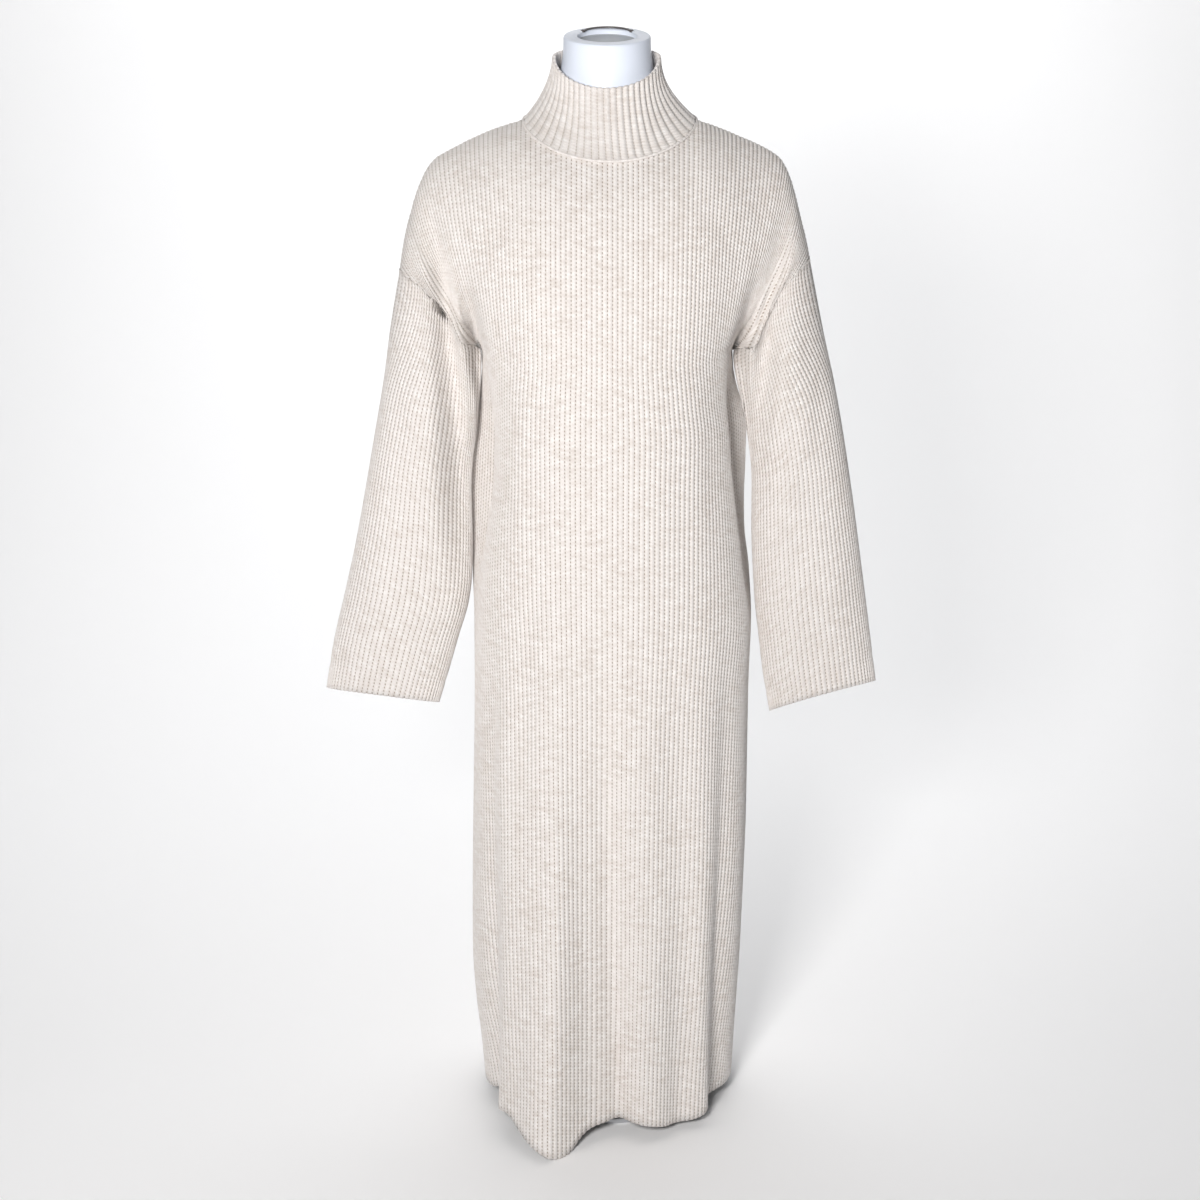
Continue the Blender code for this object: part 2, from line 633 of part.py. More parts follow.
def build_collar():
    """The funnel collar as a closed ring."""
    count = 24
    rings = np.array([collar_profile(2 * math.pi * i / count) for i in range(count)])
    size = rings.shape[1]
    faces = []
    for i in range(count):
        j = (i + 1) % count
        for a in range(size):
            b = (a + 1) % size
            faces.append((i * size + a, j * size + a, j * size + b, i * size + b))
    new_object("collar", rings.reshape(-1, 3), faces, OATMEAL, 0.9)


def band_middle(turn):
    """Middle of the raised neck seam, in the corner between panel and collar, and the outward direction."""
    out = np.array([math.sin(turn), -math.cos(turn), 0.0])
    face = "front" if math.cos(turn) > 0 else "back"
    side = "left" if math.sin(turn) < 0 else "right"
    along = min(abs(NECK_HALF * math.sin(turn)), 84.0)
    here = place(face, side, *yoke_points(face, side, along, 0.03))
    below = place(face, side, *yoke_points(face, side, along, 0.08))
    beside = place(face, side, *yoke_points(face, side, along + 3, 0.03))
    panel = unit(np.cross(below - here, beside - here))
    panel = panel * np.sign(panel @ (out + np.array([0, 0, 1.0])))
    shoulder = unit(np.array([0.3 * math.copysign(1, math.sin(turn)), 0, 0.95]))
    panel = unit(panel + (shoulder - panel) * float(ease((abs(math.sin(turn)) - 0.9) / 0.1)))
    low = collar_outer(np.array(turn), 0.02)
    high = collar_outer(np.array(turn), 0.12)
    next_to = collar_outer(np.array(turn + 0.05), 0.02)
    wall = unit(np.cross(high - low, next_to - low))
    wall = wall * np.sign(wall @ out)
    spread = max(0.5, (1 + float(panel @ wall)) / 2) ** 0.5
    gap = BAND_RADIUS + SEAM_GAP + 0.45 + 0.9 * float(ease((abs(math.sin(turn)) - 0.94) / 0.05))
    return neckline(np.array(turn)) + unit(panel + wall) * gap / spread, out


def build_neck_seam():
    """The raised seam round the foot of the collar."""
    count = 36
    size = 5
    points = []
    for i in range(count):
        turn = 2 * math.pi * i / count
        middle, out = band_middle(turn)
        for a in range(size):
            angle = 2 * math.pi * a / size
            points.append(middle + BAND_RADIUS * (out * math.cos(angle) + np.array([0, 0, math.sin(angle)])))
    faces = []
    for i in range(count):
        j = (i + 1) % count
        for a in range(size):
            b = (a + 1) % size
            faces.append((i * size + a, j * size + a, j * size + b, i * size + b))
    new_object("neck_seam", points, faces, OATMEAL, 0.9)


def form_width(side, height):
    """Half width of the form at a height."""
    if height > 1132:
        return by_height(NECK, 1, height)
    torso = by_height(TORSO, 1, height)
    if height < 1070:
        return torso
    across = np.linspace(NECK_HALF, 215, 240)
    top = outline_height(side, across) - FORM_CLEAR - 2.7 * ease((across - 160) / 20)
    return min(float(torso), float(np.interp(-height, -top, across)))


def form_depth(face, side, across, height):
    """Depth of the form's surface."""
    column = 2 if face == "front" else 3
    wide = form_width(side, height)
    deep = by_height(TORSO, column, height)
    top = outline_height(side, across) - FORM_CLEAR
    t = np.clip((height - UNDERARM) / np.maximum(top - UNDERARM, 1), 0, 1)
    roll = (1 - t**ROLL_POWER) ** (1 / ROLL_POWER)
    share = np.clip(across / wide, 0, 1)
    power = 2.5
    body = deep * np.clip(1 - share**power, 0, 1) ** (1 / power) * roll * (0.94 - 0.07 * ease((height - 1030) / 60))
    if height < NECK[0][0]:
        return body
    neck_wide = by_height(NECK, 1, height)
    neck_deep = by_height(NECK, column, height)
    neck = neck_deep * np.sqrt(np.clip(1 - (across / neck_wide) ** 2, 0, 1))
    if height > 1132:
        return neck
    blend = 9.0
    return np.maximum(np.logaddexp(body / blend, neck / blend) * blend - blend * math.log(2) * share**0, 0) * np.clip(
        (1 - share**8), 0, 1
    ) ** 0.5


FORM_HEIGHTS = (500, 504, 516, 545, 600, 660, 720, 770, 830, 889, 935, 965, 1000, 1040, 1062, 1080, 1090, 1098, 1107,
                1116, 1124, 1131, 1137, 1143, 1150, 1160, 1172, 1185, 1197, 1208, 1216)
FORM_AROUND = 15


def form_ring(height):
    """Closed section of the form."""
    turn = np.linspace(0, math.pi / 2, FORM_AROUND)
    ring = []
    for face, side, order in (("front", "left", -1), ("front", "right", 1), ("back", "right", -1), ("back", "left", 1)):
        wide = float(form_width(side, height))
        x = wide * np.sin(turn)
        y = form_depth(face, side, x, height)
        y[-1] = 0.0
        points = place(face, side, x, y, np.full(x.shape, float(height)))
        ring.append(points[::order][:-1])
    ring = np.concatenate(ring)
    ring[:, 0] += curve(height, [r[0] for r in NECK], [r[4] for r in NECK])
    tilt = CAP_TILT * ease((height - 1160) / 50)
    ring[:, 2] += tilt * ring[:, 1]
    return ring


def build_form_body():
    """Torso, neck and cap with its well."""
    rings = [form_ring(h) for h in FORM_HEIGHTS]
    rim = rings[-1]
    middle = np.array([NECK[-1][4], 0.0, 0.0])
    for scale, lift in CAP:
        ring = middle + (rim - middle) * scale
        ring[:, 2] = CAP_HEIGHT + lift + CAP_TILT * ring[:, 1]
        rings.append(ring)
    rings = np.array(rings)
    rows, columns = rings.shape[:2]
    points = list(rings.reshape(-1, 3))
    faces = grid_faces(rows, columns, around=True, flip=True)
    bottom = len(points)
    points.append(np.array([0.0, 0.0, FORM_HEIGHTS[0]]))
    top = len(points)
    points.append(np.array([middle[0], 0.0, CAP_HEIGHT + CAP[-1][1]]))
    for j in range(columns):
        k = (j + 1) % columns
        faces.append((bottom, k, j))
        faces.append((top, (rows - 1) * columns + j, (rows - 1) * columns + k))
    new_object("form_body", points, faces, WHITE_PLASTIC, 0.35)


HANDLE = {"half": 25.0, "near": 13.0, "far": 36.0, "wide": 2.6, "thick": 1.6, "clear": 0.35, "steps": 20}
RIVET_RADIUS = 3.0


def cap_point(x, y, lift):
    """Point over the cap's tilted plane."""
    return np.array([x, y, CAP_HEIGHT + CAP_TILT * y + lift])


def handle_path(part):
    """Middle line of the bar, from the left rivet round the back to the right one."""
    angle = math.pi * part
    x = NECK[-1][4] - HANDLE["half"] * math.cos(angle)
    y = HANDLE["near"] + (HANDLE["far"] - HANDLE["near"]) * math.sin(angle)
    return x, y


def build_handle():
    """The dark bar lying over the well's back edge, and its rivets."""
    steps = HANDLE["steps"]
    points = []
    for i in range(steps + 1):
        x, y = handle_path(i / steps)
        xa, ya = handle_path(min(i / steps + 0.01, 1.0))
        xb, yb = handle_path(max(i / steps - 0.01, 0.0))
        length = math.hypot(xa - xb, ya - yb)
        nx, ny = (ya - yb) / length, -(xa - xb) / length
        low = HANDLE["clear"]
        for side, lift in ((-1, low), (1, low), (1, low + HANDLE["thick"]), (-1, low + HANDLE["thick"])):
            points.append(cap_point(x + side * nx * HANDLE["wide"] / 2, y + side * ny * HANDLE["wide"] / 2, lift))
    faces = [(0, 1, 2, 3)]
    for i in range(steps):
        for a in range(4):
            b = (a + 1) % 4
            faces.append((i * 4 + a, (i + 1) * 4 + a, (i + 1) * 4 + b, i * 4 + b))
    end = steps * 4
    faces.append((end + 3, end + 2, end + 1, end))
    new_object("form_handle", points, faces, DARK_STRAP, 0.5, smooth=False)
    for name, part in (("rivet_left", 0.0), ("rivet_right", 1.0)):
        x, y = handle_path(part)
        build_rivet(name, x, y)


def build_rivet(name, x, y):
    """A low domed head on the end of the bar."""
    base = HANDLE["clear"] + HANDLE["thick"] + SEAM_GAP
    rings = []
    for radius, lift in ((RIVET_RADIUS, 0.0), (RIVET_RADIUS * 0.9, 0.7), (RIVET_RADIUS * 0.5, 1.2)):
        for i in range(14):
            a = 2 * math.pi * i / 14
            rings.append(cap_point(x + radius * math.cos(a), y + radius * math.sin(a), base + lift))
    faces = grid_faces(3, 14, around=True, flip=True)
    faces.append(tuple(range(14))[::-1])
    faces.append(tuple(range(28, 42)))
    new_object(name, rings, faces, DARK_STRAP, 0.4)


def build_turned(name, profile, colour, roughness, count=48):
    """A turned solid from radius and height rows, closed at both ends."""
    points = []
    for radius, height in profile:
        for i in range(count):
            a = 2 * math.pi * i / count
            points.append((radius * math.cos(a), radius * math.sin(a), height))
    faces = grid_faces(len(profile), count, around=True, flip=True)
    faces.append(tuple(range(count))[::-1])
    last = (len(profile) - 1) * count
    faces.append(tuple(range(last, last + count)))
    new_object(name, points, faces, colour, roughness, smooth=False)


def build_stand():
    """Pole and base."""
    low = BASE_THICK + SEAM_GAP
    high = FORM_HEIGHTS[0] - SEAM_GAP
    pole = ((POLE_RADIUS + 5, low), (POLE_RADIUS + 5, low + 10), (POLE_RADIUS, low + 14), (POLE_RADIUS, high - 12),
            (POLE_RADIUS + 4, high - 9), (POLE_RADIUS + 4, high))
    build_turned("form_pole", pole, STEEL, 0.35, 32)
    base = ((BASE_RADIUS - 1, 0.0), (BASE_RADIUS, 1.0), (BASE_RADIUS, BASE_THICK - 2.5),
            (BASE_RADIUS - 2.5, BASE_THICK))
    build_turned("form_base", base, STEEL, 0.4, 64)


def main():
    """Build every piece."""
    clear_scene()
    build_panel("front", "dress_front")
    build_panel("back", "dress_back")
    build_sleeve("left")
    build_sleeve("right")
    build_collar()
    build_neck_seam()
    build_form_body()
    build_handle()
    build_stand()


main()
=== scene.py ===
"""Visual model of a ribbed sweater dress on a limbless dress form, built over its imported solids.

Lengths in the tables are millimetres. X runs to the viewer's right, the front faces -Y and Z is up.
"""

from __future__ import annotations

import logging
import math
from dataclasses import dataclass
from enum import Enum

import bpy
import numpy as np
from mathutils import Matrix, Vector

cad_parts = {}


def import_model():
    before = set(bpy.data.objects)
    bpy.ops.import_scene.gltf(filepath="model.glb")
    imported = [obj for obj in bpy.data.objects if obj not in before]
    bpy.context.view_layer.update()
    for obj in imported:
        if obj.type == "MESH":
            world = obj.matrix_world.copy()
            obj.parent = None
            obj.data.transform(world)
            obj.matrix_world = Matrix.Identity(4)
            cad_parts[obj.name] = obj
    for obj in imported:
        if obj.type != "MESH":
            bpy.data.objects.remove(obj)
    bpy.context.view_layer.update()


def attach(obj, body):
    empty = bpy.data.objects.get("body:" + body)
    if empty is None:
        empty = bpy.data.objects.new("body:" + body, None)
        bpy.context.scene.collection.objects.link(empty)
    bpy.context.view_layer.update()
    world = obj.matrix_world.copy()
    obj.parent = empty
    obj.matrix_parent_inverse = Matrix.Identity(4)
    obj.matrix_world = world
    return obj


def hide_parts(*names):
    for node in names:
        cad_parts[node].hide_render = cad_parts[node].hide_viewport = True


MM = 0.001
Array = np.ndarray
Rows = tuple[tuple[float, ...], ...]
LOG = logging.getLogger("sweater_dress")


def curve(at: Array | float, knots: list[float], values: list[float]) -> Array:
    """Monotone cubic through the knots, held flat past both ends.

    Args:
        at: Places to read the curve at.
        knots: Places of the known values, rising.
        values: Known values.

    Returns:
        Values of the curve, shaped like at.
    """
    k = np.asarray(knots, float)
    v = np.asarray(values, float)
    x = np.clip(np.asarray(at, float), k[0], k[-1])
    step = np.diff(k)
    rise = np.diff(v) / step
    slope = np.empty_like(v)
    both = rise[:-1] * rise[1:]
    total = rise[:-1] + rise[1:]
    slope[1:-1] = np.where(both > 0, 2 * both / np.where(total == 0, 1, total), 0)
    slope[0] = rise[0]
    slope[-1] = rise[-1]
    i = np.clip(np.searchsorted(k, x, side="right") - 1, 0, len(step) - 1)
    t = (x - k[i]) / step[i]
    h = step[i]
    return (
        (2 * t**3 - 3 * t**2 + 1) * v[i]
        + (t**3 - 2 * t**2 + t) * h * slope[i]
        + (3 * t**2 - 2 * t**3) * v[i + 1]
        + (t**3 - t**2) * h * slope[i + 1]
    )


def by_height(table: Rows, column: int, at: Array | float) -> Array:
    """Read one column of a table whose rows start with a height.

    Args:
        table: Rows that start with a height.
        column: Column to read.
        at: Heights.

    Returns:
        The column's values at those heights.
    """
    rows = sorted(table, key=lambda row: row[0])
    return curve(at, [r[0] for r in rows], [r[column] for r in rows])


def across_at(table: Rows, at: Array | float) -> Array:
    """Read the place across at a height, from rows of across and height.

    Args:
        table: Rows of across and height.
        at: Heights.

    Returns:
        Places across.
    """
    rows = sorted(table, key=lambda row: row[1])
    return curve(at, [r[1] for r in rows], [r[0] for r in rows])


def ease(t: Array | float) -> Array:
    """Smooth step from 0 to 1.

    Args:
        t: Values, where 0 to 1 is the step.

    Returns:
        Eased values.
    """
    t = np.clip(t, 0, 1)
    return t * t * (3 - 2 * t)


def hill(x: Array | float, middle: Array | float, wide: Array | float) -> Array:
    """Soft hill of height 1.

    Args:
        x: Places.
        middle: Middle of the hill.
        wide: Half width.

    Returns:
        Height of the hill at each place.
    """
    return np.exp(-(((x - middle) / wide) ** 2))


def unit(vectors: Array) -> Array:
    """Vectors of length one.

    Args:
        vectors: Rows of vectors.

    Returns:
        The same directions with length one.
    """
    return vectors / np.maximum(np.linalg.norm(vectors, axis=-1, keepdims=True), 1e-9)


def rib_profile(count: Array, sharp: float = 0.62) -> Array:
    """Height of rounded ribs, 1 on a rib's crown and 0 in a groove.

    Args:
        count: Place across, counted in ribs from the middle of a rib.
        sharp: Power that sets how narrow the grooves are.

    Returns:
        Height of the knit's face.
    """
    return np.abs(np.cos(math.pi * count)) ** sharp


@dataclass(frozen=True)
class SideCut:
    """Outline of one side of the dress as it hangs. Rows hold across and height."""

    sign: float
    width_column: int
    seam_column: int
    shoulder: Rows
    sleeve_edge: Rows
    sleeve_inner: Rows
    armhole: Rows
    cuff_outer: float
    cuff_inner: float
    cuff_arch: float
    front_creases: tuple[Rows, ...]
    back_creases: tuple[Rows, ...]


LEFT_CUT = SideCut(
    sign=-1.0,
    width_column=1,
    seam_column=5,
    shoulder=((92, 1136), (132, 1122.5), (175, 1102), (187, 1095), (200, 1077), (211, 1049), (222, 1008),
              (227, 978)),
    sleeve_edge=((227, 978), (239.6, 910), (247.4, 855), (258.6, 795), (281, 683), (296, 620), (311, 561),
                 (322.5, 500)),
    sleeve_inner=((157, 978), (139.8, 889), (144.5, 811), (151.3, 763), (153, 728), (152.5, 683), (154, 633),
                  (158, 605), (171, 561), (182, 523), (195, 480)),
    armhole=((227, 978), (203, 966), (178, 934), (163, 911), (151, 900), (138, 889)),
    cuff_outer=503.0,
    cuff_inner=485.0,
    cuff_arch=6.0,
    front_creases=(
        ((1012, 164, 0, 14), (978, 157, 8, 12), (935, 149, 32, 10), (889, 142, 52, 9), (860, 141, 20, 9),
         (835, 141, 0, 9)),
        ((1082, 199, 0, 11), (1045, 192, 9, 12), (978, 181, 25, 13), (934, 177, 33, 13), (889, 172, 35, 14),
         (855, 169, 36, 15), (790, 166, 34, 16), (728, 165, 25, 16), (660, 165, 9, 16), (610, 168, 0, 16)),
    ),
    back_creases=(
        ((1000, 160, 0, 14), (935, 150, 16, 12), (889, 142, 34, 10), (860, 141, 14, 9), (835, 141, 0, 9)),
        ((1060, 200, 0, 14), (978, 186, 14, 14), (889, 176, 24, 15), (790, 175, 18, 16), (680, 180, 0, 16)),
    ),
)
RIGHT_CUT = SideCut(
    sign=1.0,
    width_column=2,
    seam_column=6,
    shoulder=((92, 1136), (129, 1122), (173, 1102), (184, 1093), (195, 1070), (205, 1034), (212, 1008),
              (215.5, 991)),
    sleeve_edge=((215.5, 991), (232.5, 912), (243.4, 865), (256.5, 799), (269, 728), (281.5, 650),
                 (292.5, 580), (304, 505)),
    sleeve_inner=((158, 991), (134.6, 889), (149, 811), (157, 748), (158, 690), (160, 650), (164, 600),
                  (167, 577), (174, 523), (183, 473)),
    armhole=((215.5, 991), (199, 979), (177, 952), (163, 915), (148, 896), (132, 889)),
    cuff_outer=511.0,
    cuff_inner=474.0,
    cuff_arch=9.0,
    front_creases=(
        ((1012, 165, 0, 14), (978, 158, 7, 12), (935, 147, 28, 10), (889, 136, 50, 9), (860, 137, 20, 9),
         (835, 139, 0, 9)),
        ((1082, 193, 0, 11), (1045, 187, 7, 12), (978, 177, 19, 13), (934, 171, 26, 13), (889, 165, 30, 14),
         (855, 161, 30, 14), (812, 158, 24, 15), (760, 160, 10, 15), (700, 166, 0, 15)),
    ),
    back_creases=(
        ((1000, 160, 0, 14), (935, 148, 15, 12), (889, 136, 34, 10), (860, 137, 14, 9), (835, 139, 0, 9)),
        ((1060, 194, 0, 14), (978, 182, 12, 14), (889, 172, 21, 15), (800, 172, 16, 16), (700, 178, 0, 16)),
    ),
)


@dataclass(frozen=True)
class FaceCut:
    """Front or back of the dress. Folds hold across at the start and hem, start height, outward at the hem,
    widths either side and growth. Soft folds hold across, height, depth, half width, half length and lean."""

    sign: float
    deep_column: int
    section_column: int
    neck_reach: float
    neck_rise: float
    folds: Rows
    hem_drops: Rows
    soft_folds: Rows


FRONT_CUT = FaceCut(
    sign=-1.0,
    deep_column=1,
    section_column=3,
    neck_reach=75.0,
    neck_rise=-39.0,
    folds=(
        (-62, -54, 660, 60, 44, 23, 1.5),
        (-112, -106, 600, 14, 13, 18, 1.3),
        (-130, -130, 640, -9, 9, 9, 1.0),
        (-12, 12, 640, -15, 15, 14, 0.9),
        (36, 48, 600, 7, 26, 26, 1.0),
        (76, 80, 620, -5, 14, 14, 1.0),
        (100, 104, 600, 8, 14, 11, 1.0),
        (130, 129, 640, -15, 11, 11, 1.1),
    ),
    hem_drops=((-62, 30, 17), (-46, 13, 8), (-118, 13, -12), (84, 34, 11)),
    soft_folds=(
        (-104, 1050, -1.6, 18, 52, 0.55),
        (-70, 985, 1.2, 16, 60, 0.35),
        (108, 1040, -1.5, 17, 56, -0.5),
        (78, 970, 1.1, 18, 66, -0.3),
        (-118, 820, -1.8, 12, 90, 0.08),
        (-96, 760, 1.6, 11, 100, 0.05),
        (112, 800, -1.6, 12, 84, -0.06),
        (92, 730, 1.3, 12, 96, -0.04),
        (-30, 700, -1.2, 22, 130, 0.05),
        (34, 640, 1.2, 20, 120, 0.03),
        (-92, 520, -2.2, 9, 120, 0.05),
        (-120, 440, 1.6, 8, 110, 0.03),
        (64, 430, -1.4, 11, 140, 0.02),
        (112, 360, 1.6, 9, 120, 0.02),
        (-78, 230, -1.6, 7, 110, 0.03),
        (22, 210, -1.2, 9, 120, 0.02),
        (92, 170, -1.4, 9, 90, 0.0),
    ),
)
BACK_CUT = FaceCut(
    sign=1.0,
    deep_column=2,
    section_column=4,
    neck_reach=60.0,
    neck_rise=8.0,
    folds=(
        (-104, -108, 620, 12, 20, 24, 1.2),
        (-62, -66, 660, -10, 18, 18, 1.0),
        (-22, -30, 640, 18, 26, 20, 1.3),
        (20, 22, 600, -9, 16, 16, 1.0),
        (62, 70, 680, 20, 24, 30, 1.3),
        (112, 114, 600, -9, 14, 14, 1.0),
    ),
    hem_drops=(),
    soft_folds=(
        (-96, 1040, -1.4, 18, 60, 0.45),
        (100, 1030, -1.4, 18, 60, -0.45),
        (-58, 900, 1.4, 20, 110, 0.1),
        (64, 860, 1.2, 20, 120, -0.1),
        (-108, 760, -1.6, 12, 96, 0.06),
        (104, 740, -1.5, 12, 92, -0.05),
        (-12, 700, -1.2, 22, 140, 0.03),
        (-84, 480, -1.6, 12, 130, 0.03),
        (40, 420, -1.4, 12, 140, 0.02),
        (92, 300, 1.4, 12, 120, 0.02),
    ),
)


@dataclass(frozen=True)
class Garment:
    """Form of the worn dress: where each point of its panels and sleeves hangs."""

    underarm: float = 889.0
    hem: float = 20.0
    neck_half: float = 92.0
    neck_height: float = 1136.0
    top_half: float = 321.0
    skirt_half: float = 257.0
    roll_power: float = 2.2
    neck_round: float = 0.7
    neck_fall: float = 1.25
    wall: float = 2.4
    seam_gap: float = 0.3
    depth: Rows = ((0, 118, 101), (60, 116, 100), (100, 109, 95), (125, 97, 86), (140, 87, 78), (160, 73, 66),
                   (185, 63, 56), (210, 50, 45), (230, 31, 28), (243, 0, 0))
    body: Rows = (
        (20, 148, 147, 137, 128, 148, 147, 0.0, 1.06, 0),
        (73, 152, 149, 136, 126, 152, 149, 0.0, 1.06, 0),
        (128, 157.5, 151.5, 135, 124, 157.5, 151.5, 0.0, 1.06, 0),
        (182, 160, 154, 134, 121, 160, 154, 0.0, 1.06, 0),
        (262, 159, 156, 132, 117, 159, 156, 0.0, 1.07, 0),
        (363, 156.5, 158, 130, 113, 156.5, 158, 0.0, 1.08, 0),
        (504, 153, 158, 128, 110, 153, 158, 0.0, 1.10, 2),
        (587, 151.5, 160, 126, 108, 153, 160.5, 0.1, 1.11, 8),
        (640, 147.5, 153.5, 124, 107, 155, 158, 0.4, 1.12, 15),
        (690, 141, 147.5, 123, 106, 155.5, 152, 0.8, 1.12, 19),
        (725, 135.5, 143, 122, 105, 155.5, 151.5, 1.0, 1.13, 20),
        (757, 131.5, 139, 121, 104, 154, 152.5, 1.0, 1.14, 20),
        (805, 131, 135, 120, 103, 147.5, 153, 1.0, 1.17, 19),
        (850, 134, 131, 119, 102, 142.5, 140, 0.7, 1.20, 13),
        (889, 138, 132, 118, 101, 138, 132, 0.0, 1.24, 0),
    )
    sleeve_forward: Rows = ((480, 6), (600, 8), (700, 11), (800, 12), (860, 6), (889, 0))
    sleeve_depth: Rows = ((480, 23, 22), (520, 26, 25), (600, 35, 33), (700, 44, 41), (800, 52, 47),
                          (889, 58, 51), (991, 60, 52))

    def outline_height(self, side: SideCut, across: Array) -> Array:
        """Height of the shoulder and upper sleeve outline over a place across.

        Args:
            side: Side of the dress.
            across: Places across.

        Returns:
            Heights.
        """
        rows = list(side.shoulder)
        low = float(across_at(side.sleeve_edge, self.underarm))
        rows += [side.sleeve_edge[1], (low, self.underarm)]
        return curve(across, [r[0] for r in rows], [r[1] for r in rows])

    def creases(self, face: FaceCut, side: SideCut, across: Array, height: Array) -> Array:
        """Depth of the arm creases at a place.

        Args:
            face: Front or back.
            side: Side of the dress.
            across: Places across.
            height: Heights.

        Returns:
            How far the cloth lies in.
        """
        total = np.zeros(np.broadcast(across, height).shape)
        tables = side.front_creases if face.sign < 0 else side.back_creases
        for table in tables:
            middle = by_height(table, 1, height)
            deep = by_height(table, 2, height)
            wide = by_height(table, 3, height)
            total = total + deep * hill(across, middle, wide)
        return total

    def yoke_depth(self, face: FaceCut, side: SideCut, across: Array, height: Array) -> Array:
        """How far the upper panel stands from the side plane.

        Args:
            face: Front or back.
            side: Side of the dress.
            across: Places across.
            height: Heights.

        Returns:
            Depth, always positive.
        """
        edge = float(across_at(side.sleeve_edge, self.underarm))
        stretched = np.where(across > 150, 150 + (across - 150) * (243 - 150) / (edge - 150), across)
        flat = curve(stretched, [r[0] for r in self.depth], [r[face.deep_column] for r in self.depth])
        top = self.outline_height(side, across)
        if face.sign > 0:
            top = top + 30 * ease(1.15 - across / self.neck_half)
        t = np.clip((height - self.underarm) / np.maximum(top - self.underarm, 1), 0, 1)
        roll = (1 - t**self.roll_power) ** (1 / self.roll_power)
        dent = self.creases(face, side, across, height)
        return np.maximum(flat - dent, flat * 0.15) * roll

    def top_edge(self, face: FaceCut, side: SideCut, along: Array) -> tuple[Array, Array, Array]:
        """Points of a panel's top edge.

        Args:
            face: Front or back.
            side: Side of the dress.
            along: Distances along the cloth from the middle.

        Returns:
            Across, depth and height.
        """
        swing = np.arcsin(np.clip(along / self.neck_half, 0, 1))
        neck_depth = face.neck_reach * np.cos(swing) ** self.neck_round
        neck_height = self.neck_height + face.neck_rise * np.cos(swing) ** self.neck_fall
        rows = np.array(side.shoulder, float)
        steps = np.concatenate([[0], np.cumsum(np.hypot(*np.diff(rows, axis=0).T))])
        place = np.clip((along - self.neck_half) / (self.top_half - self.neck_half), 0, 1) * steps[-1]
        x = curve(place, steps, rows[:, 0])
        z = curve(place, steps, rows[:, 1])
        on_neck = along < self.neck_half
        deep = np.where(on_neck, neck_depth, 0.0)
        return np.where(on_neck, along, x), deep, np.where(on_neck, neck_height, z)

    def armhole(self, side: SideCut, part: Array) -> tuple[Array, Array]:
        """Armhole seam as seen from the front.

        Args:
            side: Side of the dress.
            part: 0 at the underarm and 1 at the shoulder.

        Returns:
            Across and height.
        """
        rows = np.array(side.armhole[::-1], float)
        steps = np.concatenate([[0], np.cumsum(np.hypot(*np.diff(rows, axis=0).T))])
        place = np.clip(part, 0, 1) * steps[-1]
        return curve(place, steps, rows[:, 0]), curve(place, steps, rows[:, 1])

    def half_section(
        self, face: FaceCut, side: SideCut, height: float, count: int = 420
    ) -> tuple[Array, Array]:
        """Half of a body section from the middle to the side seam.

        Args:
            face: Front or back.
            side: Side of the dress.
            height: Height of the section.
            count: Number of points.

        Returns:
            Across and depth.
        """
        wide = float(by_height(self.body, side.width_column, height))
        deep = float(by_height(self.body, face.section_column, height))
        seam = float(by_height(self.body, side.seam_column, height))
        pleat = float(by_height(self.body, 7, height))
        power = 2 / (2.55 - 0.45 * ease((330 - height) / 300))
        turn = np.linspace(0, math.pi / 2, count)
        x = wide * np.sin(turn) ** power
        y = deep * np.cos(turn) ** power
        push = np.zeros(count)
        for top_x, hem_x, start, out, before, after, growth in face.folds:
            if height >= start:
                continue
            part = (start - height) / (start - self.hem)
            middle = top_x + (hem_x - top_x) * part
            away = side.sign * x - middle
            spread = np.where(away < 0, before, after)
            push += out * part**growth * np.exp(-((away / spread) ** 2))
        push *= ease(y / 34)
        normal = np.stack([np.gradient(y), -np.gradient(x)], 1)
        normal /= -np.linalg.norm(normal, axis=1)[:, None]
        normal[0] = (0, 1)
        x = x + push * normal[:, 0]
        y = y + push * normal[:, 1]
        x = x - 8 * pleat * np.exp(-(((y - 29) / 10) ** 2))
        x = x + (seam - wide) * ease(1 - y / 26)
        lag = float(by_height(self.body, 9, height)) * face.sign
        return x, y + lag * ease(1 - y / 48)

    def section_points(
        self, face: FaceCut, side: SideCut, height: float, parts: Array
    ) -> tuple[Array, Array]:
        """Points of a half section at parts of the panel's half width.

        Args:
            face: Front or back.
            side: Side of the dress.
            height: Height of the section.
            parts: 0 at the middle and 1 at the side seam.

        Returns:
            Across and depth.
        """
        x, y = self.half_section(face, side, height)
        steps = np.concatenate([[0], np.cumsum(np.hypot(np.diff(x), np.diff(y)))])
        spread = float(by_height(self.body, 8, height))
        place = (spread * parts - (spread - 1) * parts**3) * steps[-1]
        return np.interp(place, steps, x), np.interp(place, steps, y)

    def hem_drop(self, face: FaceCut, across: Array) -> Array:
        """How far the hem hangs below its level.

        Args:
            face: Front or back.
            across: Signed places across.

        Returns:
            Drops.
        """
        if face.sign > 0:
            return 2.0 * np.sin(across / 31)
        drop = np.full(across.shape, -1.0)
        for middle, wide, low in face.hem_drops:
            drop = drop + low * hill(across, middle, wide)
        return drop

